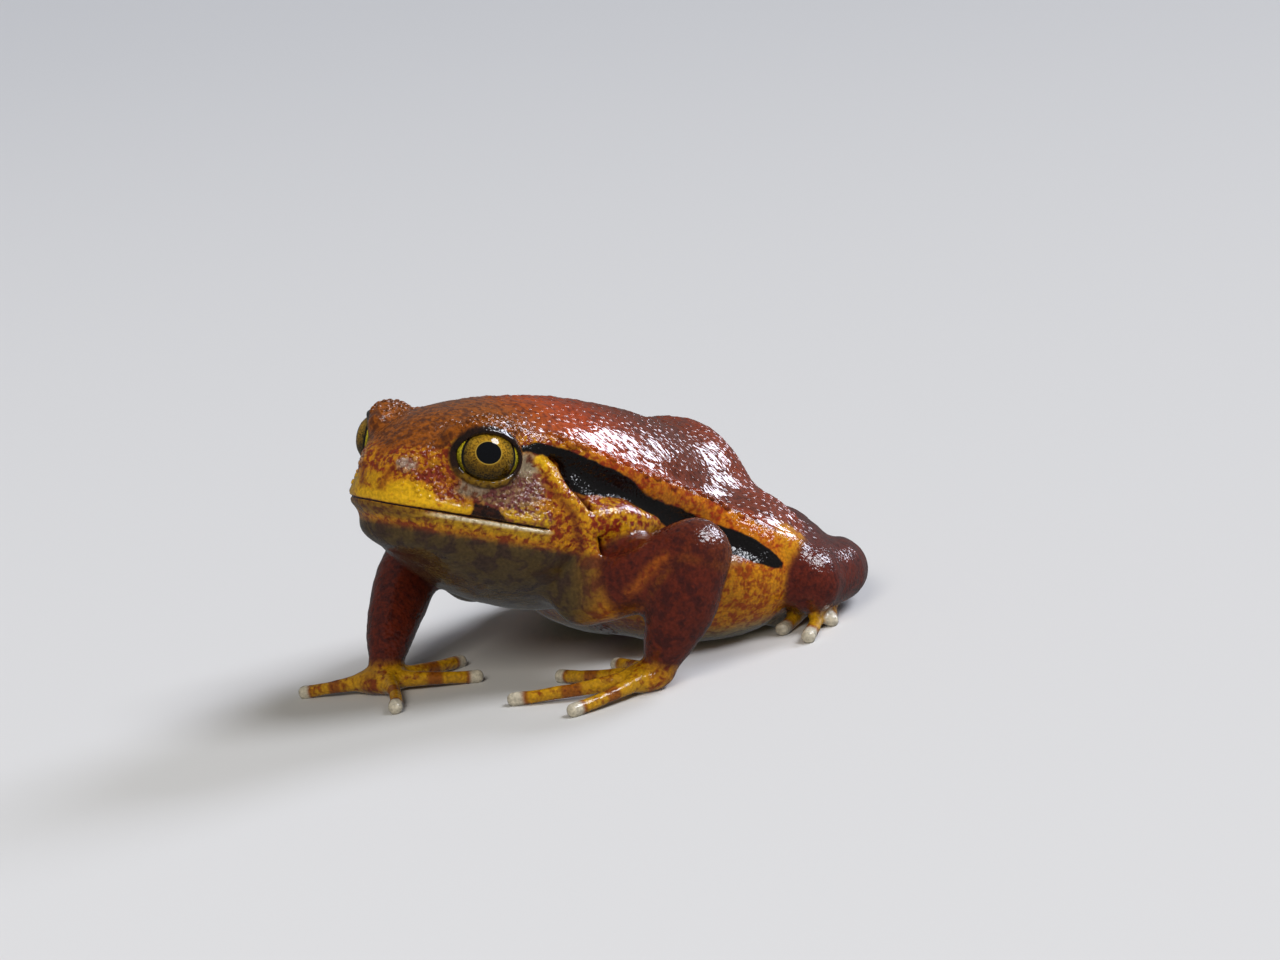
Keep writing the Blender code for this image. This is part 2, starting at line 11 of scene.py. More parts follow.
import bmesh
import bpy
import numpy as np
from mathutils import Matrix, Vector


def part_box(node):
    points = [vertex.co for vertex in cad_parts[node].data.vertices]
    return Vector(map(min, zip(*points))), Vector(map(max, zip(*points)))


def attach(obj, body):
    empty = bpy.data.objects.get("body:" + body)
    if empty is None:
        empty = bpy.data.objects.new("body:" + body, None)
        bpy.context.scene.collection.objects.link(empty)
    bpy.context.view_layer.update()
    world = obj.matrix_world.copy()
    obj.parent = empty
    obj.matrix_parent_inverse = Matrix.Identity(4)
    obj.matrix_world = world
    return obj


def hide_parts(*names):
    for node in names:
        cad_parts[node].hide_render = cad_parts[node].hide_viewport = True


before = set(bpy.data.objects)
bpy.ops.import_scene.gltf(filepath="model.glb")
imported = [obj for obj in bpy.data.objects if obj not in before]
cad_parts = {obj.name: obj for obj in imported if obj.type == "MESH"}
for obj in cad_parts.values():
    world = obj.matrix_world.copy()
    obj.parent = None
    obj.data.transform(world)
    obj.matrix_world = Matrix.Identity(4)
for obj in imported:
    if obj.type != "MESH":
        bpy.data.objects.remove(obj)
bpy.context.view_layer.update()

# %% [markdown]
# The frog is worked out in millimetres, in a frame of its own where the floor is zero and the neck is
# near the middle. The solids were then set on the middle of their footprint, so one move takes a place
# in this frame to a place in the model. The left eyeball is a ball that both know, so it gives the move.

# %% Sizes of the head and eyes, and the move to the model's own place
MM = 0.001
HEAD_AT = (0.0, -32.6, 36.4)
NOSE_UP = 17.0
HEAD_LEAN = 3.5
EYE_AT = (9.7, -0.4, -0.1)
GAZE = (0.78, -0.62, 0.03)


def turn(x=0.0, y=0.0):
    """Rotation matrix for a turn about X, then about Y, in degrees."""
    cx, cy = math.cos(math.radians(x)), math.cos(math.radians(y))
    sx, sy = math.sin(math.radians(x)), math.sin(math.radians(y))
    about_x = np.array([[1, 0, 0], [0, cx, -sx], [0, sx, cx]])
    about_y = np.array([[cy, 0, sy], [0, 1, 0], [-sy, 0, cy]])
    return about_y @ about_x


HEAD_AXES = turn(y=HEAD_LEAN) @ turn(x=-NOSE_UP)


def on_head(point):
    """A place given in the head's own frame."""
    return np.array(HEAD_AT) + HEAD_AXES @ np.array(point, float)


def mirrored(point, side):
    """The same place, on the frog's right where side is -1."""
    return (point[0] * side,) + tuple(point[1:])


def gaze(side):
    """The way an eye looks."""
    out = HEAD_AXES @ np.array(mirrored(GAZE, side))
    return out / np.linalg.norm(out)


def eye_axes(side):
    """Across, up and out of one eye, as matrix columns."""
    out = gaze(side)
    across = np.cross(HEAD_AXES[:, 2], out)
    across /= np.linalg.norm(across)
    return np.stack([across, np.cross(out, across), out], 1)


eye_low, eye_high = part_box("eye_left")
eye_middle = (np.array(eye_low) + np.array(eye_high)) / 2 / MM
MOVE = eye_middle - on_head(EYE_AT)
print("move from the frog's frame to the model, mm:", MOVE.round(3))

# %% [markdown]
# A frog's body has no edges: bones and muscles are masses under a loose wet skin. So it is modelled as
# clay. Each mass is an ellipsoid or a tapering cord, and says how far any point is from its surface.
# Two masses join with a rounded valley whose width is named. The same few masses shape the solids.

# %% Clay: masses, and how they join
FAR = 50.0
REACH = 5.0
CURVE_STEPS = 4


class Mass:
    """An ellipsoid."""

    def __init__(self, centre, sizes, axes=None):
        self.centre = np.array(centre, np.float32)
        self.sizes = np.array(sizes, np.float32)
        self.axes = np.eye(3, dtype=np.float32) if axes is None else np.array(axes, np.float32)
        half = np.sqrt(((self.axes * self.sizes) ** 2).sum(1))
        self.low = self.centre - half
        self.high = self.centre + half

    def distance(self, points):
        local = (points - self.centre) @ self.axes
        near = np.sqrt(((local / self.sizes) ** 2).sum(-1))
        slope = np.sqrt(((local / self.sizes ** 2) ** 2).sum(-1))
        return near * (near - 1.0) / np.maximum(slope, 1e-6)


def smooth_path(rows):
    """A Catmull-Rom curve through rows of x, y, z and radius."""
    rows = np.array(rows, float)
    if len(rows) < 3:
        return rows
    ends = np.vstack([2 * rows[0] - rows[1], rows, 2 * rows[-1] - rows[-2]])
    path = []
    for i in range(1, len(ends) - 2):
        before, start, stop, after = ends[i - 1:i + 3]
        for t in np.linspace(0, 1, CURVE_STEPS, endpoint=False):
            bend = 2 * before - 5 * start + 4 * stop - after
            twist = 3 * start - before - 3 * stop + after
            path.append(start + 0.5 * ((stop - before) * t + bend * t ** 2 + twist * t ** 3))
    path.append(rows[-1])
    return np.array(path)


class Cord:
    """A round, tapering length along a smooth path."""

    def __init__(self, rows):
        self.path = smooth_path(rows)
        self.low = (self.path[:, :3] - self.path[:, 3:]).min(0)
        self.high = (self.path[:, :3] + self.path[:, 3:]).max(0)

    def distance(self, points):
        return self.measure(points)[0]

    def measure(self, points):
        """Distance to the surface, and how far along the path the nearest place is, from 0 to 1."""
        best = np.full(points.shape[:-1], FAR, np.float32)
        share = np.zeros(points.shape[:-1], np.float32)
        count = len(self.path) - 1
        for i in range(count):
            start, stop = self.path[i].astype(np.float32), self.path[i + 1].astype(np.float32)
            along = stop[:3] - start[:3]
            offset = points - start[:3]
            t = np.clip((offset @ along) / max(float(along @ along), 1e-9), 0, 1)
            miss = offset - t[..., None] * along
            gap = np.sqrt((miss * miss).sum(-1)) - (start[3] + t * (stop[3] - start[3]))
            nearer = gap < best
            best = np.where(nearer, gap, best)
            share = np.where(nearer, (i + t) / count, share)
        return best, share


def join(a, b, blend):
    """The two shapes together, with a rounded valley as wide as the blend."""
    overlap = np.maximum(blend - np.abs(a - b), 0.0)
    return np.minimum(a, b) - overlap * overlap / (4.0 * blend)


trial_ball = Mass((0, 0, 0), (2, 2, 2))
print("5 mm from the middle of a 2 mm ball,", trial_ball.distance(np.array([[5.0, 0, 0]]))[0], "mm are left")

# %% [markdown]
# The clay is asked for its distance in two ways. A grid of points finds the surface, and then the
# surface's own points are asked again, to settle each one exactly. Both only look at the points near a
# mass, so the many small masses of the fingers and lids cost little.

# %% Grid and loose points that hold a distance

class Grid:
    """Places on an even grid, and the block of them near a shape."""

    def __init__(self, low, high, cell):
        self.low = np.array(low, np.float32)
        self.cell = cell
        count = np.ceil((np.array(high) - self.low) / cell).astype(int) + 1
        lines = [self.low[i] + cell * np.arange(count[i], dtype=np.float32) for i in range(3)]
        self.points = np.stack(np.meshgrid(*lines, indexing="ij"), -1)
        self.count = count

    def window(self, shape, margin):
        first = np.floor((shape.low - margin - self.low) / self.cell).astype(int)
        last = np.ceil((shape.high + margin - self.low) / self.cell).astype(int) + 1
        first = np.clip(first, 0, self.count - 1)
        last = np.clip(last, 1, self.count)
        return tuple(slice(int(first[i]), int(last[i])) for i in range(3))


class Points:
    """Loose places, and those of them near a shape."""

    def __init__(self, points):
        self.points = np.asarray(points, np.float32)

    def window(self, shape, margin):
        low, high = shape.low - margin, shape.high + margin
        return np.flatnonzero(((self.points > low) & (self.points < high)).all(1))


def empty(clay):
    """No clay anywhere yet: every place is far from it."""
    return np.full(clay.points.shape[:-1], FAR, np.float32)


def add(clay, field, shape, blend):
    """Joins a shape to the clay."""
    place = clay.window(shape, blend + REACH)
    field[place] = join(field[place], shape.distance(clay.points[place]), blend)


def carve(clay, field, shape, blend):
    """Takes a shape out of the clay."""
    place = clay.window(shape, blend + REACH)
    field[place] = -join(-field[place], shape.distance(clay.points[place]), blend)


print("each mass is felt", REACH, "mm beyond its own box")

# %% [markdown]
# A tomato frog is almost as wide as it is long, with a short blunt head held up on a deep chest. These
# are its masses, the same ones that shape the solids: skull, snout, jaws, throat and cheeks in the
# head's own frame, which tips up and leans a little, and the trunk's masses on the ground's axes.

# %% The masses of the head and trunk
# Centre, half sizes and blend, in the head's frame: skull, snout, upper jaw in front and behind, lower
# jaw in front and behind, throat, nape, and then the cheek and the side of the face
HEAD_FORMS = [
    ((0, 8.5, -1.9), (12.4, 17.5, 8.9), 1.0),
    ((0, -3.3, -4.9), (7.6, 7.9, 4.6), 3.5),
    ((0, 0.3, -8.0), (10.8, 11.9, 4.5), 3.0),
    ((0, 8.5, -8.4), (16.0, 13.2, 5.8), 3.5),
    ((0, 2.2, -12.2), (10.2, 11.4, 3.8), 2.5),
    ((0, 10.0, -12.8), (15.6, 12.8, 4.8), 3.0),
    ((0, 14, -14.0), (13.5, 13, 7.0), 5.0),
    ((0, 17, 0), (12.5, 14, 7.4), 5.0),
]
CHEEK_FORMS = [
    ((12.4, 13.0, -8.0), (4.8, 8.2, 7.6), 4.0),
    ((8.2, 4.0, -5.4), (4.6, 5.4, 4.6), 3.0),
]
# The edge from eye to nostril, the fold behind the cheek, and that fold's sharp rim: x, y, z, radius
CANTHUS = [(6.9, -3.2, 0.4, 1.5), (4.9, -6.6, -1.3, 1.3), (3.1, -8.8, -2.8, 1.1)]
TYMPANIC_FOLD = [
    (12.6, 5.0, 1.2, 0.9), (13.6, 8.4, -1.0, 1.2), (15.6, 9.6, -4.6, 1.3),
    (16.8, 12.0, -7.0, 1.3), (17.2, 14.2, -11.0, 1.3), (16.6, 14.6, -14.4, 0.9),
]
FOLD_EDGE = [
    (13.6, 6.6, 0.3, 0.5), (14.6, 8.0, -0.9, 0.8), (15.5, 8.4, -2.2, 0.95), (16.5, 9.2, -3.8, 1.0),
    (17.4, 10.8, -5.2, 1.0), (18.1, 12.2, -6.8, 1.05), (18.5, 13.2, -9.2, 1.05), (18.7, 14.3, -11.6, 1.0),
    (18.4, 14.4, -13.4, 0.7),
]
FOLD_GAP = 1.75
BROW = [(7.8, -4.8, 2.3, 1.2), (10.2, -1.0, 3.9, 1.4), (11.0, 3.6, 3.4, 1.2), (12.0, 6.4, 2.0, 1.0)]
# Centre, half sizes, pitch and blend: chest, belly, flank, back, hump and rump
TRUNK_FORMS = [
    ((0, -10.5, 22.3), (17.5, 16.5, 12.2), 0, 1.0),
    ((0, 8, 11.4), (24.5, 18.2, 12.4), 0, 6.0),
    ((10, 9.6, 9.2), (15.0, 16.2, 10.2), 0, 4.2),
    ((0, -6, 22.3), (16.5, 26, 14.4), -14, 5.5),
    ((0, 12.2, 19.4), (13.0, 11.0, 11.8), -30, 3.4),
    ((0, 28.0, 7.4), (10, 12.2, 6.1), -20, 3.2),
]
BACK_RIDGE = [
    (11.4, -26.5, 36.8, 1.3), (14.4, -21, 33.9, 1.8), (16.8, -12, 28.0, 2.0), (17.6, -0.4, 21.8, 2.0),
    (18.8, 4.5, 18.4, 2.0), (21.6, 8.0, 15.0, 2.1), (23.0, 11.0, 12.8, 2.2), (21.8, 16.0, 11.0, 2.0),
    (17.5, 22.5, 9.6, 2.0), (12.5, 27.0, 8.6, 2.0),
]
BAND_HOLLOW = [
    (18.6, -20.5, 30.0, 1.0), (20.0, -14.0, 26.6, 1.2), (20.8, -6.5, 21.6, 1.2), (21.4, -1.0, 18.0, 1.0),
    (24.6, 4.0, 14.2, 0.8),
]
HIP_KNOB = (22.8, 12.6, 12.2)
SHOULDER_LOBE = [
    (16.9, -20.0, 23.8, 2.8), (17.9, -16.6, 23.2, 2.9), (18.9, -13.4, 22.2, 2.0), (19.4, -10.8, 21.4, 1.1),
]
LOBE_GAP = [
    (17.9, -20.9, 19.3, 0.6), (20.0, -20.3, 19.9, 0.8), (22.1, -19.5, 20.4, 0.8), (23.6, -18.4, 20.8, 0.5),
]
print("head and trunk have", len(HEAD_FORMS + CHEEK_FORMS + TRUNK_FORMS), "kinds of mass")

# %% [markdown]
# The limbs are cords: an arm bends at an elbow that stands out from the chest, a leg lies folded in
# three beside the rump, and each hand has four fingers and each foot five toes, low arches that end on
# the ground. A limb joins the trunk with its own narrow valley, as skin does in a fold.

# %% The limbs' points, each x, y, z and radius
UPPER_ARM = {
    "left": [(14, -20.6, 13.5, 5.0), (21.5, -17.5, 15.6, 5.2), (28.5, -12.5, 18.0, 4.7)],
    "right": [(-12.5, -18, 14, 5.0), (-17.0, -17.5, 16.5, 4.9), (-20.5, -20, 17, 4.4)],
}
FOREARM = {
    "left": [
        (28.5, -12.5, 18.0, 4.5), (28.2, -15.0, 12.5, 5.0),
        (26.8, -17.2, 7.5, 3.8), (25.6, -18.2, 4.2, 2.6)],
    "right": [
        (-20.5, -20, 17, 4.2), (-19.5, -25, 13.5, 4.6),
        (-16.5, -31.5, 8.0, 3.7), (-14.5, -35.0, 4.4, 2.5)],
}
PALM_AT = {"left": (24.2, -19.8), "right": (-14.0, -36.9)}
PALM_SIZES = (3.3, 3.6, 2.0)
FINGER_TIPS = {
    "left": [(12.5, -14.5), (9.0, -22.5), (11.0, -34.0), (23.5, -34.5)],
    "right": [(-12.5, -22.5), (-3.5, -27.5), (-3.0, -44.0), (-23.0, -44.0)],
}
FINGER_RADII = (1.6, 1.1, 0.9, 1.0)
LEG = {
    "left": {
        "hip": (7, 29, 8.5), "knee": (24.5, 14.5, 7.7),
        "heel": (9.5, 36.5, 4.2), "ball": (16.5, 25.0, 2.2)},
    "right": {
        "hip": (-7, 29, 8.5), "knee": (-25.5, 13, 7.7),
        "heel": (-9.5, 36.0, 4.2), "ball": (-17.5, 24.5, 2.2)},
}
TOE_ANGLES = (-34, -20, -7, 7, 20)
TOE_LENGTHS = (8, 12, 17, 22, 14)
TOE_RADII = (1.7, 1.25, 1.0, 1.05)
DIGIT_SHARES = (0.0, 0.38, 0.72, 1.0)
FINGER_BEND = 0.07
TOE_BEND = 0.05
TIP_HEIGHT = 0.85
SIDES = {"left": 1, "right": -1}


def digit_rows(root, tip, radii, bend):
    """From inside the palm or sole, over a low arch, to a tip on the floor."""
    root, tip = np.array(root, float), np.array(tip, float)
    along = tip - root
    aside = np.array([-along[1], along[0]]) * bend
    rows = []
    for share, radius in zip(DIGIT_SHARES, radii):
        place = root + along * share + aside * math.sin(math.pi * share)
        rows.append((*place, TIP_HEIGHT + math.cos(math.pi / 2 * share), radius))
    return rows


def finger_cords(name):
    """Four fingers from the palm, each bowed a little to one side."""
    palm = PALM_AT[name]
    cords = []
    for tip in FINGER_TIPS[name]:
        bend = FINGER_BEND if tip[1] < palm[1] else -FINGER_BEND
        cords.append(Cord(digit_rows(palm, tip, FINGER_RADII, bend)))
    return cords


def toe_cords(name):
    """Five toes fanned from the ball of the foot."""
    side = SIDES[name]
    heel, ball = (np.array(LEG[name][key], float) for key in ("heel", "ball"))
    ahead = (ball - heel)[:2] / np.linalg.norm((ball - heel)[:2])
    outward = np.array([-ahead[1], ahead[0]]) * side
    cords = []
    for angle, length in zip(TOE_ANGLES, TOE_LENGTHS):
        way = ahead * math.cos(math.radians(angle)) + outward * math.sin(math.radians(angle))
        cords.append(Cord(digit_rows(ball[:2], ball[:2] + way * length, TOE_RADII, TOE_BEND * side)))
    return cords


def leg_cords(name):
    """Thigh, shank and sole."""
    side = SIDES[name]
    hip, knee, heel, ball = (np.array(LEG[name][key], float) for key in ("hip", "knee", "heel", "ball"))
    thigh_middle = (hip + knee) / 2 + np.array([side * 0.5, 0.5, -0.3])
    below_knee = knee + np.array([side * 0.8, 0.5, -1.0])
    calf = (knee + heel) / 2 + np.array([side * 3.0, 1.6, -0.4])
    return (
        Cord([(*hip, 5.4), (*thigh_middle, 5.8), (*knee, 4.8)]),
        Cord([(*below_knee, 4.4), (*calf, 4.7), (*heel, 2.9)]),
        Cord([(*heel, 2.8), (*ball, 2.2)]),
    )


digits = {name: {"hand": finger_cords(name), "foot": toe_cords(name)} for name in SIDES}
print("digits:", {name: [len(cords) for cords in digits[name].values()] for name in SIDES})

# %% [markdown]
# The eyes bulge from the top of the head, each with a brow over it, and the lids are a thin dark rim
# that lies against the ball. A lid could be a folded sheet of its own, but that would leave a seam. So
# the opening is carved out of the clay, and a fine cord round its edge makes the rim.

# %% Lids, and places on the head
LID_SIZES = (5.1, 5.1, 5.3)
LID_AT = (-0.1, 0.1, 0.4)
EYEBALL_RADIUS = 4.95
EYEBALL_AT = (0.45, -0.1, -0.4)
LID_RIM = (4.5, 3.4)
LID_RIM_OUT = 5.05
LID_RIM_RADIUS = 0.17
LID_MIDDLE = (0.1, -0.12)
LID_OPENING_OUT = 4.6
LID_OPENING = (5.4, 3.6, 4.9)


def side_cord(rows, side):
    return Cord([mirrored(row, side) for row in rows])


def head_cord(rows, side=1, back=0.0, radius=None):
    """A cord on the head, moved back along it and given one radius where asked."""
    placed = []
    for x, y, z, size in rows:
        placed.append((*on_head((x * side, y + back, z)), size if radius is None else radius))
    return Cord(placed)


def on_eye(side, own):
    """A place given from the eyeball's middle: backwards, up and out of the head."""
    own = (np.array(own) + EYEBALL_AT) * (side, 1, 1)
    return on_head(mirrored(EYE_AT, side)) + eye_axes(side) @ own


def eye_ring(side, across, up, out, radius, steps=28):
    """A closed cord round an eye: half width, half height, and how far it lies from the eyeball's middle."""
    rows = []
    for step in range(steps + 1):
        angle = 2 * math.pi * step / steps
        x = across * math.cos(angle) + LID_MIDDLE[0]
        y = up * math.sin(angle) + LID_MIDDLE[1]
        rows.append((*on_eye(side, (x, y, math.sqrt(out * out - x * x - y * y))), radius))
    return Cord(rows)


eye_distance = np.linalg.norm(on_eye(1, (0, 0, 0)) - on_eye(-1, (0, 0, 0)))
print("the eyes are", eye_distance.round(1), "mm apart")

# %% [markdown]
# The whole frog is one function of place. Head and trunk come first, with their folds and hollows. Each
# limb, hand and foot is then joined as a shape of its own with its own blend, so that fingers don't melt
# together. The floor cuts the clay flat, as skin is pressed flat where the frog rests.

# %% Distance to the whole skin
# How wide the valley is where a form joins the body, or how soft the edge of a cut is
BLEND = {
    "canthus": 2.2, "tympanic fold": 1.6, "neck": 6.0, "ridge": 1.6, "hip knob": 1.8, "band hollow": 3.0,
    "shoulder lobe": 1.0, "lid": 2.0, "brow": 1.8, "fold": 0.9, "eye opening": 0.4, "lid rim": 0.8,
    "nostril": 0.5, "arm": 2.5, "leg": 1.6, "digits": 1.2, "alone": 0.1,
}
HIP_KNOB_SIZES = (2.9, 2.9, 2.9)
FOLD_GAP_RADIUS = 0.7
NOSTRIL_AT = (4.1, -9.2, -2.9)
NOSTRIL_SIZES = (0.5, 0.5, 0.8)
PALM_SUNK = 0.2


def body_field(clay):
    """Head and trunk, with their ridges, folds, lids, eye openings and nostrils."""
    head = empty(clay)
    for centre, sizes, blend in HEAD_FORMS:
        add(clay, head, Mass(on_head(centre), sizes, HEAD_AXES), blend)
    for side in (1, -1):
        for centre, sizes, blend in CHEEK_FORMS:
            add(clay, head, Mass(on_head(mirrored(centre, side)), sizes, HEAD_AXES), blend)
        add(clay, head, head_cord(CANTHUS, side), BLEND["canthus"])
        add(clay, head, head_cord(TYMPANIC_FOLD, side), BLEND["tympanic fold"])
    trunk = empty(clay)
    for centre, sizes, pitch, blend in TRUNK_FORMS:
        for side in (1, -1) if centre[0] else (1,):
            add(clay, trunk, Mass(mirrored(centre, side), sizes, turn(x=pitch)), blend)
    field = join(head, trunk, BLEND["neck"])
    for side in (1, -1):
        add(clay, field, side_cord(BACK_RIDGE, side), BLEND["ridge"])
        add(clay, field, Mass(mirrored(HIP_KNOB, side), HIP_KNOB_SIZES), BLEND["hip knob"])
        carve(clay, field, side_cord(BAND_HOLLOW, side), BLEND["band hollow"])
        add(clay, field, side_cord(SHOULDER_LOBE, side), BLEND["shoulder lobe"])
        add(clay, field, Mass(on_eye(side, LID_AT), LID_SIZES, HEAD_AXES), BLEND["lid"])
        add(clay, field, head_cord(BROW, side), BLEND["brow"])
        carve(clay, field, head_cord(FOLD_EDGE, side, FOLD_GAP, FOLD_GAP_RADIUS), BLEND["fold"])
        add(clay, field, head_cord(FOLD_EDGE, side), BLEND["fold"])
        opening_at = on_eye(side, (*LID_MIDDLE, LID_OPENING_OUT))
        carve(clay, field, Mass(opening_at, LID_OPENING, eye_axes(side)), BLEND["eye opening"])
        add(clay, field, eye_ring(side, *LID_RIM, LID_RIM_OUT, LID_RIM_RADIUS), BLEND["lid rim"])
        nostril = Mass(on_head(mirrored(NOSTRIL_AT, side)), NOSTRIL_SIZES, HEAD_AXES)
        carve(clay, field, nostril, BLEND["nostril"])
    return field


def skin_field(clay):
    """The whole frog, cut off at the floor."""
    skin = body_field(clay)
    for name in SIDES:
        thigh, shank, sole = leg_cords(name)
        arm = [(Cord(UPPER_ARM[name]), BLEND["arm"]), (Cord(FOREARM[name]), BLEND["arm"])]
        for cord, blend in arm + [(thigh, BLEND["leg"]), (shank, BLEND["leg"])]:
            limb = empty(clay)
            add(clay, limb, cord, BLEND["alone"])
            skin = join(skin, limb, blend)
        palm = Mass((*PALM_AT[name], PALM_SIZES[2] - PALM_SUNK), PALM_SIZES)
        for root, cords in ((palm, digits[name]["hand"]), (sole, digits[name]["foot"])):
            field = empty(clay)
            for shape in (root, *cords):
                add(clay, field, shape, BLEND["digits"])
            skin = join(skin, field, BLEND["digits"])
    carve(clay, skin, Cord(LOBE_GAP), BLEND["fold"])
    return np.maximum(skin, -clay.points[..., 2])


print("the head's middle lies", -skin_field(Points([HEAD_AT]))[0].round(1), "mm under the skin")

# %% [markdown]
# The skin is found on a grid of cells six tenths of a millimetre wide: one point in each cell that the
# surface passes through, at the middle of where it crosses the cell's edges, and a square wherever a
# grid line goes through the surface. That gives even squares everywhere, with no poles and no seams.

# %% From the grid to a mesh
CELL = 0.6
GRID_LOW = (-37.0, -50.0, -1.6)
GRID_HIGH = (37.0, 44.0, 45.5)

grid = Grid(GRID_LOW, GRID_HIGH, CELL)
values = skin_field(grid)


def net(clay, field):
    """Points in crossed cells, and squares across crossed grid lines."""
    inside = field < 0
    span = tuple(n - 1 for n in field.shape)
    total = np.zeros(span, np.int8)
    for i, j, k in np.ndindex(2, 2, 2):
        total += inside[i:i + span[0], j:j + span[1], k:k + span[2]]
    crossed = np.argwhere((total > 0) & (total < 8))
    number = np.full(span, -1, np.int64)
    number[tuple(crossed.T)] = np.arange(len(crossed))
    sums = np.zeros((len(crossed), 3))
    hits = np.zeros(len(crossed))
    for axis in range(3):
        others = [other for other in range(3) if other != axis]
        for u, v in np.ndindex(2, 2):
            start = np.zeros(3, int)
            start[others[0]], start[others[1]] = u, v
            stop = start.copy()
            stop[axis] = 1
            a, b = field[tuple((crossed + start).T)], field[tuple((crossed + stop).T)]
            cross = (a < 0) != (b < 0)
            t = np.where(cross, a / np.where(cross, a - b, 1.0), 0.0)
            sums += (start + t[:, None] * (stop - start)) * cross[:, None]
            hits += cross
    points = clay.low + clay.cell * (crossed + sums / hits[:, None])
    squares = []
    for axis in range(3):
        low = [slice(1, n - 1) for n in field.shape]
        high = list(low)
        low[axis], high[axis] = slice(0, field.shape[axis] - 1), slice(1, field.shape[axis])
        first, second = inside[tuple(low)], inside[tuple(high)]
        for leaving in (True, False):
            found = np.argwhere(first & ~second if leaving else ~first & second)
            found += np.array([0 if i == axis else 1 for i in range(3)])
            ring = []
            for du, dv in ((1, 1), (0, 1), (0, 0), (1, 0)):
                cell = found.copy()
                cell[:, (axis + 1) % 3] -= du
                cell[:, (axis + 2) % 3] -= dv
                ring.append(number[tuple(cell.T)])
            squares.append(np.stack(ring if leaving else ring[::-1], 1))
    return points, np.concatenate(squares)


net_points, net_squares = net(grid, values)
print("net:", len(net_points), "points and", len(net_squares), "squares")

# %% [markdown]
# Lips, lids, nostrils and fingers need finer squares than the flank does. A Subdivision Surface would
# cut every square alike and pass the limit on faces. So the squares near those places are chosen, once
# and then again, by their distance to the eyes, the nostrils, the fingers and the line of the mouth.

# %% Where the squares are finer
MOUTH_Z = -8.3
MOUTH_SLOPE = -0.04
MOUTH_FRONT_Y = -12.0
MOUTH_CORNER_Y = 7.4
FINE = {"mouth": 1.9, "behind corner": 2, "eyes": 7.6, "nostrils": 2.4, "hands": 0.4}
FINEST = {"mouth": 0.75, "behind corner": 1, "eyes": 6.1, "nostrils": 1.4}
FRONT_OF_EYE = 2.0


def head_local(points):
    return (points - np.array(HEAD_AT)) @ HEAD_AXES


def over_mouth(points):
    """Height over the line between the lips."""
    local = head_local(points)
    return local[:, 2] - MOUTH_Z - MOUTH_SLOPE * (local[:, 1] - MOUTH_FRONT_Y)


def before_corner(points, soft=1.6):
    """1 in front of the mouth's corner, fading to 0 behind it."""
    return np.clip((MOUTH_CORNER_Y - head_local(points)[:, 1]) / soft + 0.5, 0, 1)


def from_places(points, places):
    """Distance to the nearest of a few places."""
    return np.min([np.linalg.norm(points - place, axis=1) for place in places], axis=0)


EYES = [on_head(mirrored(EYE_AT, side)) for side in (1, -1)]
NOSTRILS = [on_head(mirrored(NOSTRIL_AT, side)) for side in (1, -1)]


def by_mouth(points, reach):
    ahead = head_local(points)[:, 1] < MOUTH_CORNER_Y + reach["behind corner"]
    return ahead & (np.abs(over_mouth(points)) < reach["mouth"])


def wants_fine(points):
    chosen = by_mouth(points, FINE)
    chosen |= from_places(points, EYES) < FINE["eyes"]
    chosen |= from_places(points, NOSTRILS) < FINE["nostrils"]
    for name in SIDES:
        for cord in digits[name]["hand"]:
            chosen |= cord.distance(points) < FINE["hands"]
    return chosen


def wants_finest(points):
    facing = np.max([(points - eye) @ gaze(side) for eye, side in zip(EYES, (1, -1))], axis=0)
    lids = (from_places(points, EYES) < FINEST["eyes"]) & (facing > FRONT_OF_EYE)
    return by_mouth(points, FINEST) | lids | (from_places(points, NOSTRILS) < FINEST["nostrils"])


print("near fine detail:", int(wants_fine(net_points).sum()), "points of the net")

# %% [markdown]
# The chosen squares are cut in four with bmesh. Their new points lie on the flat old squares, so every
# point then walks along its own normal until its distance to the clay is zero. The skin comes out smooth
# where it should be, and sharp where it should be.

# %% Cut the squares and settle the points
# A point's step is its distance over the clay's slope, and the slope is held between these
LEAST_SLOPE = 0.35
MOST_SLOPE = 3.0


def settle(points, normals, steps=4, feel=0.05, most=0.5):
    """Moves each point along its normal until its distance to the clay is zero."""
    for _ in range(steps):
        here = skin_field(Points(points))
        out = skin_field(Points(points + feel * normals))
        slope = np.clip((out - here) / feel, LEAST_SLOPE, MOST_SLOPE)
        points = points - normals * np.clip(here / slope, -most, most)[:, None]
    return points


skin_mesh = bpy.data.meshes.new("skin")
skin_mesh.from_pydata(net_points.tolist(), [], net_squares.tolist())
for wants in (wants_fine, wants_finest):
    work = bmesh.new()
    work.from_mesh(skin_mesh)
    work.faces.ensure_lookup_table()
    middles = np.array([face.calc_center_median() for face in work.faces])
    chosen = np.flatnonzero(wants(middles))
    edges = {edge for index in chosen for edge in work.faces[int(index)].edges}
    bmesh.ops.subdivide_edges(work, edges=list(edges), cuts=1, use_grid_fill=True)
    bmesh.ops.triangulate(work, faces=[face for face in work.faces if len(face.verts) > 4])
    work.normal_update()
    work.to_mesh(skin_mesh)
    work.free()


def mesh_points(mesh):
    found = np.empty(len(mesh.vertices) * 3, np.float32)
    mesh.vertices.foreach_get("co", found)
    return found.reshape(-1, 3).astype(float)


def mesh_normals(mesh):
    found = np.empty(len(mesh.vertices) * 3, np.float32)
    mesh.vertex_normals.foreach_get("vector", found)
    return found.reshape(-1, 3).astype(float)


def place_points(mesh, points):
    mesh.vertices.foreach_set("co", points.astype(np.float32).ravel())
    mesh.update()


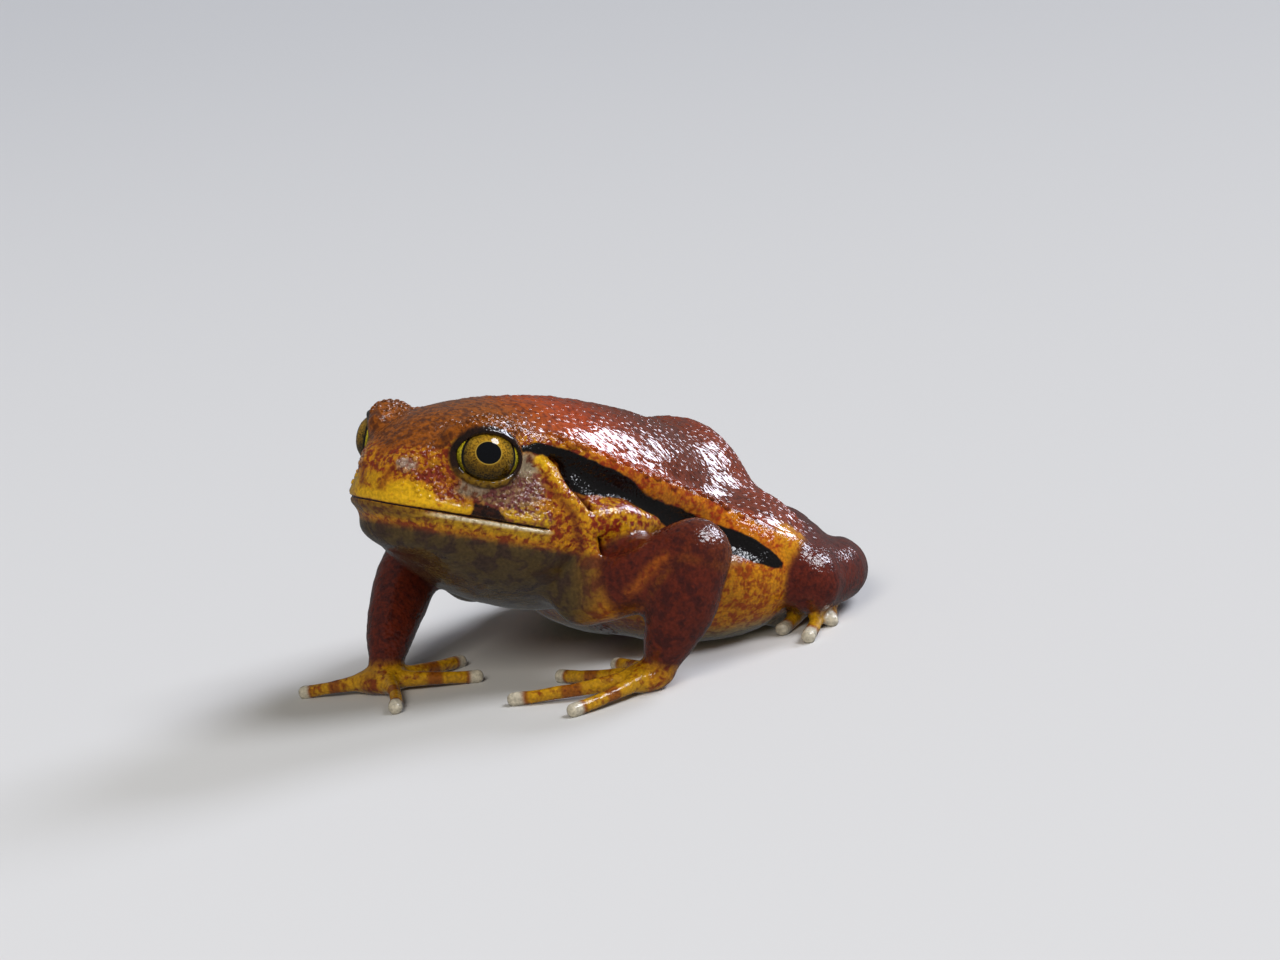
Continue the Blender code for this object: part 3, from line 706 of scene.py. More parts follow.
skin = settle(mesh_points(skin_mesh), mesh_normals(skin_mesh))
place_points(skin_mesh, skin)
triangles = sum(len(face.vertices) - 2 for face in skin_mesh.polygons)
print("skin:", len(skin), "points,", triangles, "triangles")

# %% [markdown]
# Relief and colours both need the same tools: soft steps, waves that wander but are the same at every
# run, and how near a point is to a place on the frog. They could be textures, but on the points they can
# move the mesh as well as colour it, and follow the frog's own forms.

# %% Waves, ramps and bells, all in millimetres
KNOTS = 32


def wander(points, size, seed):
    """Smooth random waves from -1 to 1, each about `size` millimetres long."""
    table = np.random.default_rng(seed).uniform(-1, 1, (KNOTS, KNOTS, KNOTS))
    place = points / size
    base = np.floor(place)
    t = place - base
    t = t * t * (3 - 2 * t)
    index = base.astype(int)
    total = np.zeros(len(points))
    for corner in np.ndindex(2, 2, 2):
        cell = (index + corner) % KNOTS
        share = np.prod([t[:, i] if corner[i] else 1 - t[:, i] for i in range(3)], axis=0)
        total += share * table[cell[:, 0], cell[:, 1], cell[:, 2]]
    return total


def ramp(value, low, high):
    """0 at low and 1 at high, with soft ends."""
    t = np.clip((value - low) / (high - low), 0, 1)
    return t * t * (3 - 2 * t)


def bell(value, middle, width):
    return np.exp(-((value - middle) / width) ** 2)


def stretched(points, ways, factor):
    """Points squeezed along a direction, so that waves on them run long that way."""
    ways = ways / np.linalg.norm(ways, axis=-1, keepdims=True)
    along = (points * ways).sum(1, keepdims=True)
    return points - along * (1 - 1 / factor) * ways


def both_sides(rows):
    return [side_cord(rows, side) for side in (1, -1)]


def head_cords(rows, back=0.0, radius=None):
    return [head_cord(rows, side, back, radius) for side in (1, -1)]


def head_masses(centre, sizes):
    return [Mass(on_head(mirrored(centre, side)), sizes, HEAD_AXES) for side in (1, -1)]


def masses(centre, sizes):
    return [Mass(mirrored(centre, side), sizes) for side in (1, -1)]


def gap_to(shapes):
    """How far each point of the skin is from the nearest of a few shapes, below zero inside."""
    return np.min([shape.distance(skin.astype(np.float32)) for shape in shapes], axis=0)


def near(shapes, soft=1.0, grow=0.0):
    """1 inside the shapes, fading to 0 over `soft` millimetres."""
    return 1 - ramp(gap_to(shapes) - grow, -soft / 2, soft / 2)


print("over the eyes:", int((near(head_masses(EYE_AT, (5, 5, 5))) > 0).sum()), "points")

# %% [markdown]
# One line parts the colours of the back from those of the side: over the snout, above the eye and then
# along the ridge to the hip. On the ridge it lies a little outside the top, where the ridge turns down.

# %% Height over that line, and the other measures that relief and colour need
CREST_OUT = 0.77
CREST_UP = 0.64
UPPER_LINE = [(0.0, -43.0, 37.6, 0), (2.1, -41.4, 38.6, 0), (5.1, -40.2, 38.5, 0), (7.6, -38.8, 38.0, 0)]
UPPER_LINE += [(9.6, -37.8, 39.4, 0), (12.4, -35.2, 40.5, 0), (14.2, -32.4, 39.5, 0), (13.6, -29.5, 38.3, 0)]
UPPER_LINE += [(x + CREST_OUT * size, y, z + CREST_UP * size, 0) for x, y, z, size in BACK_RIDGE]
UPPER_LINE += [(8.0, 36.0, 6.0, 0), (0.0, 40.5, 5.0, 0)]
LINE_UP = np.array([-0.72, 0.0, 0.69])


def over_line(points):
    """Signed height over the line, and the way that the line runs there."""
    folded = points.copy()
    folded[:, 0] = np.abs(folded[:, 0])
    path = smooth_path(UPPER_LINE)[:, :3]
    best = np.full(len(points), np.inf)
    height = np.zeros(len(points))
    ways = np.zeros((len(points), 3))
    for start, stop in zip(path[:-1], path[1:]):
        along = stop - start
        t = np.clip(((folded - start) @ along) / (along @ along), 0, 1)
        miss = folded - start - t[:, None] * along
        gap = np.linalg.norm(miss, axis=1)
        nearer = gap < best
        best = np.where(nearer, gap, best)
        height = np.where(nearer, np.sign(miss @ LINE_UP) * gap, height)
        ways = np.where(nearer[:, None], along / np.linalg.norm(along), ways)
    return height, ways


side_of = np.where(skin[:, 0] < 0, -1.0, 1.0)[:, None] * np.array([1.0, 0, 0]) + np.array([0, 1.0, 1.0])
height, line_way = over_line(skin)
line_way = line_way * side_of
slant_way = np.array([0.9, 0.55, -0.5]) * side_of
local = head_local(skin)
across_head = np.abs(local[:, 0])
mouth = over_mouth(skin)
on_head_part = 1 - ramp(local[:, 1], 12, 17)
lips = before_corner(skin) * on_head_part
behind_head = ramp(local[:, 1], 5, 10)
back = ramp(height, 0.3, 1.2) * behind_head
print("over the line:", int((height > 0).sum()), "of", len(skin), "points")

# %% [markdown]
# Close up, the skin isn't smooth. The lips meet in a groove with a roll above and below it. The back is
# creased slantwise, and the flank has soft upright folds behind the elbow. A bump in the material would
# be lost at the outline and in the exported mesh, so these are small moves along the normal.

# %% Relief
LIP_ROLL = 0.24
LIP_GROOVE = 0.5
CREST_ROLL = 0.26
FLOOR_REST = 0.12

floor_free = ramp(skin[:, 2], 0.1, 1.0)
flank = near(masses((22, 8, 9), (6, 14, 11)), 3.0)
by_elbow = near(masses((23.2, 1.5, 13.0), (3.0, 4.2, 5.0)), 2.5)
# Where the waves are, their height, the way they run, how drawn out they are, their size, and a seed
WAVES = [
    (back, 0.11, slant_way, 3.0, 1.3, 11),
    (back, 0.10, slant_way, 2.0, 2.6, 12),
    (flank, 0.16, (0.25, 0.3, 1.0), 4.0, 2.2, 13),
    (by_elbow, 0.22, (0.3, -0.5, 1.0), 4.0, 1.3, 16),
    (1.0, 0.05, (0, 0, 1), 1.0, 1.3, 14),
    (1.0, 0.09, (0, 0, 1), 1.0, 3.6, 15),
]

blunt = 0.15 + 0.85 * ramp(local[:, 1], -11.5, -5)
relief = lips * blunt * LIP_ROLL * (bell(mouth, 0.8, 0.5) + bell(mouth, -0.7, 0.42))
relief -= lips * LIP_GROOVE * (0.4 + 0.6 * blunt) * bell(mouth, 0, 0.2)
relief += behind_head * CREST_ROLL * bell(height, 0.3, 0.75) * (1 - ramp(skin[:, 1], 9, 14))
for where, high, way, drawn_out, size, seed in WAVES:
    relief += where * high * wander(stretched(skin, way, drawn_out), size, seed)

skin = skin + mesh_normals(skin_mesh) * (relief * floor_free)[:, None]
skin[:, 2] = np.where(skin[:, 2] < FLOOR_REST, 0.0, skin[:, 2])
place_points(skin_mesh, skin)
print("relief from", relief.min().round(2), "to", relief.max().round(2), "mm")

# %% [markdown]
# The colours of a tomato frog warn that it tastes bad: a tomato-red to brown back, an orange stripe
# along its edge, a black band under that, and yellow sides mottled with red. They could be an image,
# but an image has a fixed sharpness. Here they are brushed on the points, as a ground colour, a mark
# colour and how much of the ground the marks cover. The material breaks the marks up itself.

# %% A paint box

def linear(hexes):
    """An sRGB hex colour as linear red, green and blue."""
    parts = [int(hexes[i:i + 2], 16) / 255 for i in (1, 3, 5)]
    return np.array([part / 12.92 if part <= 0.04045 else ((part + 0.055) / 1.055) ** 2.4 for part in parts])


class Paint:
    """What each point of the skin carries: two colours, and the share, coarseness and grain of the marks."""

    def __init__(self, count):
        self.ground = np.zeros((count, 3))
        self.mark = np.zeros((count, 3))
        self.amounts = np.zeros((count, 3))

    def coats(self, *rows):
        """Each row: where, ground colour, mark colour, share of marks, how coarse, how grainy."""
        for weight, ground, mark, *amounts in rows:
            weight = np.clip(weight, 0, 1)[:, None]
            self.ground += weight * (linear(ground) - self.ground)
            self.mark += weight * (linear(mark) - self.mark)
            self.amounts += weight * (np.array(amounts) - self.amounts)


paint = Paint(len(skin))
print("paint box for", len(skin), "points")

# %% [markdown]
# The trunk is painted as a wall is, from the ground coat up: the sides, then belly and chest, then the
# back from its edge inwards, and last the orange stripe that hems it. Each coat fades at its rim,
# because on the animal only the black band ends in a hard line.

# %% Trunk: sides, belly, back, and the stripe along its edge
belly = (1 - ramp(skin[:, 2], 1.0, 4.0)) * near([Mass((0, 5, 2), (24, 28, 9))], 4)
# The chest under the arms is painted dark olive as shade.
chest_shade = near([Mass((0, -21, 13.5), (19, 12, 8))], 4)
rear = ramp(skin[:, 1], -24, 2)
hip_end = ramp(skin[:, 1], 8, 18)
# Grey on the wrinkles by the black band is a painted wet sheen.
band_wrinkle_sheen = near(masses((22.6, 1.5, 14.6), (2.6, 3.6, 1.8)), 2.0)
hip_patch = near(masses((24.6, 12.2, 13.2), (2.6, 3.4, 4.0)), 1.6)
upper = ramp(height, -0.5, 0.4)
stripe = (1 - upper) * ramp(height, -5.5, -4.5) * behind_head * (1 - ramp(skin[:, 1], 18, 24))

paint.coats(
    (np.ones(len(skin)), "#B9790F", "#8E4208", 0.50, 0.8, 0.5),
    (flank * 0.9, "#CC860E", "#9A440A", 0.50, 0.35, 0.4),
    (band_wrinkle_sheen * 0.8, "#8C6656", "#6A4034", 0.45, 0.3, 0.6),
    (belly, "#A8935A", "#7E6238", 0.40, 1.0, 0.4),
    (chest_shade, "#564620", "#42301E", 0.46, 1.0, 0.3),
    (upper, "#B4440A", "#86300C", 0.44, 0.3, 0.9),
    (upper * rear, "#6A2E18", "#4C2012", 0.44, 0.4, 0.9),
    (back * bell(height, 0.6, 1.6) * 0.7, "#B4440C", "#8A300C", 0.40, 0.3, 0.8),
    (back * hip_end * 0.6, "#9A3A14", "#6C2410", 0.45, 0.4, 0.8),
    (stripe, "#C6760C", "#9A340A", 0.48, 0.5, 0.5),
    (hip_patch, "#C8860E", "#A0440A", 0.42, 0.4, 0.5),
)
print("stripe on", int((stripe > 0.5).sum()), "points")

# %% [markdown]
# The throat under the mouth is painted dark as shade. The head is yellow mottled with red at its sides and
# brown on top. On that lie smaller patches, each inside an egg shape on both cheeks. A texture would need its
# own map of the face for them, but an egg needs only a place and three sizes, and those can be read off the
# animal.

# %% Head: throat, sides, top and cheeks
throat_shade = on_head_part * (1 - ramp(mouth, -3.4, -1.6))
head_side = on_head_part * (1 - ramp(height, -0.9, 0.5)) * ramp(mouth, -3.2, -1.8)
nape = 1 - ramp(local[:, 1], 3, 19)
# Centre, half sizes, how soft, and the rest of the coat
HEAD_PATCHES = [
    # Cheek, skin under the eye, skin behind the eye, mouth's corner
    ((12.8, 2.2, -4.0), (4.2, 6.0, 3.4), 2.0, "#8C6C4C", "#6C3A38", 0.50, 0.1, 1.0),
    ((10.8, -3.2, -4.8), (2.4, 2.6, 1.2), 1.2, "#94806A", "#6E4A34", 0.42, 0.1, 1.0),
    ((13.6, 4.6, -0.6), (1.6, 2.4, 1.6), 1.2, "#A8987C", "#7C4A38", 0.40, 0.1, 1.0),
    ((15.2, 4.6, -8.0), (3.0, 4.2, 1.5), 1.0, "#B08818", "#5E2A34", 0.50, 0.3, 0.7),
    # Side of the snout, upper lip, tip of the snout, and round the nostril a pale patch that is a painted wet
    # glint
    ((7.6, -6.6, -4.4), (3.0, 3.4, 1.9), 1.4, "#B06A14", "#7A2C1C", 0.54, 0.0, 1.0),
    ((5.8, -9.4, -6.3), (3.8, 3.2, 1.5), 1.0, "#D0A010", "#B4700E", 0.36, 0.4, 0.3),
    ((0.0, -12.0, -6.0), (2.6, 1.8, 2.2), 1.0, "#C4900E", "#8A4A10", 0.42, 0.3, 0.4),
    ((4.6, -9.6, -2.6), (1.5, 1.5, 0.9), 0.8, "#A48A78", "#7A4A3A", 0.44, 0.0, 1.0),
]
SNOUT_BARS = [(3.0, -10.6, -3.4, 0.5), (2.2, -11.4, -5.2, 0.5), (1.6, -11.8, -7.0, 0.5)]

paint.coats(
    # The throat's dark olive is painted shade.
    (throat_shade, "#4C3C20", "#3A2A20", 0.48, 1.0, 0.25),
    (head_side, "#BC7C10", "#7C2C10", 0.50, 0.1, 1.0),
    (nape * ramp(height, -0.7, 0.5), "#8E4C0C", "#5C2E0E", 0.48, 0.3, 0.8),
)
for centre, sizes, soft, *coat in HEAD_PATCHES:
    paint.coats((near(head_masses(centre, sizes), soft), *coat))
paint.coats((near(head_cords(SNOUT_BARS), 0.6) * 0.8, "#7A300E", "#5C200C", 0.40, 0.2, 0.4))
print("head painted with", len(HEAD_PATCHES), "patches on each side")

# %% [markdown]
# The upper lip is yellow and has a dark mark with four straight sides. A pale line along the lower lip is a
# painted glint, and the front of the lower lip is painted darker as shade. Behind the cheek a yellow fold
# stands between two hollows that are painted dark as shade, as is the gap under the shoulder lobe. All of
# these follow forms that the clay already has, so their coats use the same points and the same height over
# the mouth.

# %% Lips, the dark mark over them, and the fold behind the cheek
along = local[:, 1]
upper_lip = lips * ramp(mouth, 0.05, 0.3) * (1 - ramp(mouth, 1.2, 2.0))
lower_lip = lips * (1 - ramp(mouth, -0.3, -0.05)) * ramp(mouth, -2.4, -1.3)
lip_glint_line = lips * bell(mouth, -0.42, 0.22) * ramp(along, -8.5, -5)
# The mark's front, top, rear and foot, each above zero on the mark's side
mark_sides = (
    along + 2.6 - 0.19 * mouth,
    2.1 - 0.14 * (along + 2.2) - mouth,
    1.6 - 0.6 * mouth - 0.8 * along,
    mouth - 0.08,
)
lip_mark = lips * ramp(np.min(mark_sides, axis=0), -0.12, 0.12) * (across_head > 8)

paint.coats(
    (upper_lip * (1 - 0.6 * ramp(along, -5, 0)), "#D2A214", "#A85C10", 0.38, 0.4, 0.25),
    (lower_lip, "#B88C14", "#7A4210", 0.44, 0.4, 0.3),
    # The front of the lower lip is painted darker as shade.
    (lower_lip * (1 - ramp(along, -10, -6)) * 0.8, "#6E4A14", "#4C2A12", 0.48, 0.5, 0.3),
    # The pale line is a painted glint on the roll of the lower lip.
    (lip_glint_line, "#D2C8AC", "#A89870", 0.44, 0.0, 0.3),
    (lip_mark, "#34180C", "#1C0E0A", 0.48, 0.4, 0.4),
    # Painted shade in the hollow in front of the fold.
    (near(head_cords(FOLD_EDGE, -1.7, 0.5), 0.6) * 0.8, "#74300E", "#541C0C", 0.45, 0.2, 0.5),
    (near(both_sides(SHOULDER_LOBE), 0.8, grow=0.3), "#C8900E", "#7A2210", 0.50, 0.35, 0.4),
    # Painted shade in the hollow behind the fold.
    (near(head_cords(FOLD_EDGE, FOLD_GAP, 0.9), 0.6), "#74300E", "#34120A", 0.48, 0.4, 0.4),
    (near(head_cords(FOLD_EDGE, 0.0, 1.05), 0.5), "#DCAC14", "#A0460C", 0.42, 0.3, 0.4),
    # Painted shade in the gap under the shoulder lobe.
    (near([Cord(LOBE_GAP)], 0.6, grow=0.2), "#2A160C", "#180C08", 0.45, 0.4, 0.4),
)
print("dark mark on", int((lip_mark > 0.5).sum()), "points")

# %% [markdown]
# Arms and legs are a dark red-brown above, with orange in the creases and underneath. The fingers are
# yellow with brown bands and pale tips, so a band's place is measured along the finger.

# %% Arms, legs, fingers and toes
ARM_COLOURS = ("#5A2012", "#3E1612"), ("#80460E", "#5A220E")
LEG_COLOURS = ("#5C2014", "#421612"), ("#6E3010", "#4E1C10")
ARM_CREASE = [
    (28.4, -18.5, 19.2, 0.5), (26.8, -19.9, 17.5, 0.5), (25.4, -21.0, 15.6, 0.5), (23.9, -21.9, 14.4, 0.4),
]
BANDS_ON_DIGIT = 2.4


def paint_limb(cords, above, under):
    on_limb = near(cords, 1.2, grow=1.0)
    path = np.concatenate([cord.path[:, :3] for cord in cords])
    nearest = path[np.argmin([np.linalg.norm(skin - place, axis=1) for place in path], axis=0)]
    below = 1 - ramp((skin - nearest)[:, 2], -4.2, -2.2)
    paint.coats((on_limb, *above, 0.46, 0.5, 0.5), (on_limb * below * 0.7, *under, 0.48, 0.5, 0.4))


def paint_digit(cord):
    gap, share = cord.measure(skin.astype(np.float32))
    on_digit = 1 - ramp(gap, 0.1, 0.7)
    bands = ramp(np.sin(share * 2 * math.pi * BANDS_ON_DIGIT), 0.1, 0.7)
    paint.coats(
        (on_digit * ramp(share, 0.3, 0.4) * bands * 0.8, "#7E3614", "#5A2410", 0.40, 0.2, 0.4),
        (on_digit * ramp(share, 0.88, 0.94), "#C4BCA8", "#9A8C78", 0.30, 0.2, 0.2),
    )


for name in SIDES:
    paint_limb([Cord(UPPER_ARM[name][1:]), Cord(FOREARM[name])], *ARM_COLOURS)
    paint_limb(leg_cords(name)[:2], *LEG_COLOURS)
    palm = near([Mass((*PALM_AT[name], 2.0), (4.6, 4.6, 2.4))], 1.6) * 0.8
    paint.coats((palm, "#B8800F", "#7E360E", 0.48, 0.5, 0.4))
    for cords in digits[name].values():
        paint.coats((near(cords, 0.6, grow=0.6), "#BE8C16", "#84420F", 0.42, 0.5, 0.4))
        for cord in cords:
            paint_digit(cord)
paint.coats((near([Cord(ARM_CREASE)], 1.8) * 0.8, "#A85A10", "#86340C", 0.46, 0.4, 0.4))
print("painted", sum(len(cords) for name in SIDES for cords in digits[name].values()), "fingers and toes")

# %% [markdown]
# A dark line edges the lids, and the lower lid is brassy. It is painted by the distance to the rim's own
# cord, so that it can't slip off it. The nostrils are small holes, painted dark inside as shade.

# %% Eyelids and nostrils
rim_gap = gap_to([eye_ring(side, *LID_RIM, LID_RIM_OUT, 0.75) for side in (1, -1)])
eye_up = np.max([(skin - eye) @ eye_axes(side)[:, 1] for eye, side in zip(EYES, (1, -1))], axis=0)
lower_lid = (1 - ramp(rim_gap, -0.3, 0.3)) * (1 - ramp(eye_up, -2.6, -1.4))

paint.coats(
    (1 - ramp(rim_gap, 0.0, 0.6), "#24120A", "#140A08", 0.44, 0.2, 0.3),
    (lower_lid, "#7E5E12", "#4A300C", 0.46, 0.2, 0.3),
    # Painted shade inside the nostrils.
    (1 - ramp(from_places(skin, NOSTRILS), 0.35, 0.65), "#4A2C20", "#2A1610", 0.4, 0.4, 0.2),
)
print("lids and nostrils on", int(((rim_gap < 0.6) | (from_places(skin, NOSTRILS) < 0.65)).sum()), "points")

# %% [markdown]
# A few lines have to be sharp: the black band along each side, and the slit where the lips meet, which is
# painted dark as shade. A colour on points a half-millimetre apart can't be. So the points carry the distance
# to the line instead, and the material turns that into an edge as sharp as the render can show.

# %% The black band and the lines that the material draws
BAND = [
    (12.9, -29.6, 36.0, 0.45), (13.7, -28.3, 36.0, 0.5), (13.7, -26.4, 35.6, 0.76), (14.4, -24.5, 34.8, 0.95),
    (15.0, -23.3, 33.9, 1.2), (16.6, -21.3, 30.9, 2.6), (17.2, -18.0, 29.2, 2.2), (18.3, -15.2, 27.5, 2.1),
    (19.2, -12.4, 25.0, 2.2), (19.2, -8.5, 22.6, 1.8), (18.6, -3.3, 19.8, 1.6), (20.2, 0.5, 17.2, 1.8),
    (22.9, 3.8, 14.8, 1.85), (24.8, 6.0, 13.0, 1.36), (25.6, 8.4, 11.1, 0.6),
]
FAR_FROM_LIPS = 9.0

band = gap_to(both_sides(BAND))
arms = [Cord(rows[name]) for rows in (UPPER_ARM, FOREARM) for name in SIDES]
# The fold, the lobe and the arms lie over the band, which stays this far clear of each
for shapes, clear in ((head_cords(FOLD_EDGE), 0.5), (both_sides(SHOULDER_LOBE), 0.3), (arms, 0.6)):
    band = np.maximum(band, clear - gap_to(shapes))
mouth_line = np.where(lips > 0.5, mouth, FAR_FROM_LIPS)
print("black band covers", int((band < 0).sum()), "points")


def carry(mesh, name, kind, values):
    """Stores one value for each point on a mesh."""
    attribute = mesh.attributes.new(name, kind, "POINT")
    if kind == "FLOAT_COLOR":
        values = np.hstack([values, np.ones((len(values), 1))])
    field = {"FLOAT_COLOR": "color", "FLOAT_VECTOR": "vector", "FLOAT": "value"}[kind]
    attribute.data.foreach_set(field, values.astype(np.float32).ravel())


carry(skin_mesh, "ground", "FLOAT_COLOR", paint.ground)
carry(skin_mesh, "mark", "FLOAT_COLOR", paint.mark)
carry(skin_mesh, "amounts", "FLOAT_VECTOR", paint.amounts)
carry(skin_mesh, "lines", "FLOAT_VECTOR", np.column_stack([band, back, mouth_line]))

# %% [markdown]
# Frog skin is thin, soft and always wet: a film of slime lies over it, so it is dull and coloured
# underneath and glassy on top. The shader does the same, with a rough coloured base and a clear coat.
# The fine grain bends the base and the coat alike, because the film follows the skin.

# %% Helpers for materials

def add_node(tree, kind, inputs=None, **settings):
    """A node with its settings. An input takes a value, a socket, or a node, whose result it then reads."""
    made = tree.nodes.new(kind)
    for name, value in settings.items():
        setattr(made, name, value)
    for key, value in (inputs or {}).items():
        if isinstance(value, bpy.types.Node):
            value = next(output for output in value.outputs if output.enabled)
        if isinstance(value, bpy.types.NodeSocket):
            tree.links.new(value, made.inputs[key])
        else:
            made.inputs[key].default_value = value
    return made


def per_metre(size_mm):
    """Texture scale that gives features of this size on coordinates in metres."""
    return 1.0 / (size_mm * MM)


def new_material(name):
    material = bpy.data.materials.new(name)
    material.use_nodes = True
    material.node_tree.nodes.clear()
    return material, material.node_tree


def solid(hexes):
    return (*linear(hexes), 1.0)


print("a 1 mm pattern has a scale of", per_metre(1.0))

# %% [markdown]
# The marks on a frog's skin are clusters of colour cells, so their edges wander. Noise does that: where
# noise and the carried share of marks together pass a limit, the mark colour shows. Small and large
# marks are two noises, and each point carries which it has.

# %% Marks on the skin
FINE_MARKS = 0.8
COARSE_MARKS = 2.2
GRAIN = 0.45
MARKS_FROM = 0.90
MARKS_FULL = 1.08
LEAST_LIGHT = 0.7
MOST_LIGHT = 1.22


def mottled(tree, place, parts):
    """Ground and mark colours, each a little lighter or darker from grain to grain."""
    ground = add_node(tree, "ShaderNodeAttribute", attribute_name="ground")
    mark = add_node(tree, "ShaderNodeAttribute", attribute_name="mark")
    fine = add_node(tree, "ShaderNodeTexNoise", {
        "Vector": place, "Scale": per_metre(FINE_MARKS), "Detail": 4.0, "Distortion": 0.4})
    coarse = add_node(tree, "ShaderNodeTexNoise", {
        "Vector": place, "Scale": per_metre(COARSE_MARKS), "Detail": 5.0, "Distortion": 0.8})
    blotch = add_node(tree, "ShaderNodeMix", {"Factor": parts["Y"], 2: fine, 3: coarse})
    reached = add_node(tree, "ShaderNodeMath", {0: blotch, 1: parts["X"]}, operation="ADD")
    share = add_node(tree, "ShaderNodeMapRange", {
        "Value": reached, "From Min": MARKS_FROM, "From Max": MARKS_FULL}, interpolation_type="SMOOTHSTEP")
    colour = add_node(tree, "ShaderNodeMix", {"Factor": share, 6: ground, 7: mark}, data_type="RGBA")
    grain = add_node(tree, "ShaderNodeTexNoise", {"Vector": place, "Scale": per_metre(GRAIN), "Detail": 3.0})
    light = add_node(tree, "ShaderNodeMapRange", {
        "Value": grain, "From Min": 0.3, "From Max": 0.7, "To Min": LEAST_LIGHT, "To Max": MOST_LIGHT})
    return add_node(tree, "ShaderNodeVectorMath", {0: colour, 1: light}, operation="MULTIPLY")


print("marks are", FINE_MARKS, "to", COARSE_MARKS, "mm wide")

# %% [markdown]
# The band is black skin, not paint, so its edge is a little ragged. A soft step of the carried distance
# gives the edge, and noise moves it by a seventh of a millimetre. The slit between the lips is painted shade:
# a step up and a step down, multiplied, give where it is dark brown.

# %% The black band and the slit between the lips
RAGGED_SIZE = 2.0
RAGGED = 0.14
BAND_BLACK = "#0A0707"
# The slit's dark brown is painted shade between the lips.
SLIT_SHADE = "#1E0E08"


def lined(tree, place, colour, lines):
    wobble = add_node(tree, "ShaderNodeTexNoise", {
        "Vector": place, "Scale": per_metre(RAGGED_SIZE), "Detail": 3.0})
    ragged = add_node(tree, "ShaderNodeMapRange", {
        "Value": wobble, "From Min": 0.3, "From Max": 0.7, "To Min": -RAGGED, "To Max": RAGGED})
    edge = add_node(tree, "ShaderNodeMath", {0: lines["X"], 1: ragged}, operation="ADD")
    in_band, over_foot, under_top = (
        add_node(tree, "ShaderNodeMapRange", {
            "Value": value, "From Min": low, "From Max": high, "To Min": start, "To Max": 1.0 - start},
            interpolation_type="SMOOTHSTEP")
        for value, low, high, start in (
            (edge, -0.16, 0.18, 1.0), (lines["Z"], -0.2, -0.12, 0.0), (lines["Z"], 0.02, 0.14, 1.0)))
    in_slit = add_node(tree, "ShaderNodeMath", {0: over_foot, 1: under_top}, operation="MULTIPLY")
    for share, hexes in ((in_band, BAND_BLACK), (in_slit, SLIT_SHADE)):
        colour = add_node(tree, "ShaderNodeMix", {
            "Factor": share, 6: colour, 7: solid(hexes)}, data_type="RGBA")
    return colour


print("the band's edge wanders by", RAGGED, "mm")

# %% [markdown]
# Frog skin is full of tiny glands, about a tenth of a millimetre wide. That is too fine to show, so the
# pores are drawn about five times as coarse. The back is creased instead: its cells are stretched, by a
# Mapping node that is turned along the slant of the welts, so that the wet film glints in short dashes.

# %% Pores and creases
PORE = 0.55
CREASE = 0.75
CREASE_LENGTH = 1.7
CREASE_TURN = (0.0, math.radians(25), math.radians(31))
CREASE_DEPTH = 0.5


def skin_height(tree, place, parts, lines):
    """Height for the bump: pores where there is grain, and creases on the back."""
    grain = add_node(tree, "ShaderNodeTexNoise", {"Vector": place, "Scale": per_metre(GRAIN), "Detail": 3.0})
    pores = add_node(tree, "ShaderNodeTexVoronoi", {"Vector": place, "Scale": per_metre(PORE)}, feature="F1")
    pitted = add_node(tree, "ShaderNodeMath", {0: grain, 1: pores}, operation="SUBTRACT")
    pored = add_node(tree, "ShaderNodeMath", {0: pitted, 1: parts["Z"]}, operation="MULTIPLY")
    turned = add_node(tree, "ShaderNodeMapping", {
        "Vector": place, "Rotation": CREASE_TURN, "Scale": (CREASE_LENGTH, 1.0, 1.0)}, vector_type="TEXTURE")
    cells = add_node(tree, "ShaderNodeTexVoronoi", {
        "Vector": turned, "Scale": per_metre(CREASE)}, feature="F1")
    hills = add_node(tree, "ShaderNodeMath", {0: 1.0, 1: cells}, operation="SUBTRACT")
    creased = add_node(tree, "ShaderNodeMath", {0: hills, 1: CREASE_DEPTH}, operation="MULTIPLY")
    return add_node(tree, "ShaderNodeMix", {"Factor": lines["Y"], 2: pored, 3: creased})


print("creases are", CREASE, "mm wide and", round(CREASE * CREASE_LENGTH, 2), "mm long")

# %% [markdown]
# All of it meets in one Principled shader. Bare skin has a typical roughness of 0.5. The film of slime is
# a coat: nearly smooth, and with a higher IOR than water's 1.33, so that its glints are as bright as on
# the animal. The skin's own reflection is turned down, or it would lie under the coat as a grey veil.

# %% Wet frog skin
BUMP_STRENGTH = 0.8
BUMP_DEPTH = 0.18


def frog_skin(name):
    material, tree = new_material(name)
    place = add_node(tree, "ShaderNodeTexCoord").outputs["Object"]
    parts, lines = (
        add_node(tree, "ShaderNodeSeparateXYZ", {
            0: add_node(tree, "ShaderNodeAttribute", attribute_name=carried).outputs["Vector"]}).outputs
        for carried in ("amounts", "lines"))
    colour = lined(tree, place, mottled(tree, place, parts), lines)
    height = skin_height(tree, place, parts, lines)
    bump = add_node(tree, "ShaderNodeBump", {
        "Strength": BUMP_STRENGTH, "Distance": BUMP_DEPTH * MM, "Height": height})
    shader = add_node(tree, "ShaderNodeBsdfPrincipled", {
        "Base Color": colour, "Roughness": 0.5, "Specular IOR Level": 0.05, "Coat Weight": 0.95,
        "Coat Roughness": 0.07, "Coat IOR": 1.58, "Normal": bump, "Coat Normal": bump})
    add_node(tree, "ShaderNodeOutputMaterial", {"Surface": shader})
    return material


def new_object(name, data):
    made = bpy.data.objects.new(name, data)
    bpy.context.collection.objects.link(made)
    return made


def finished(name, mesh, material):
    """Shows a mesh as a piece of the frog: its points go from millimetres to the model's metres."""
    place_points(mesh, (mesh_points(mesh) + MOVE) * MM)
    mesh.shade_smooth()
    mesh.materials.clear()
    mesh.materials.append(material)
    return new_object(name, mesh)


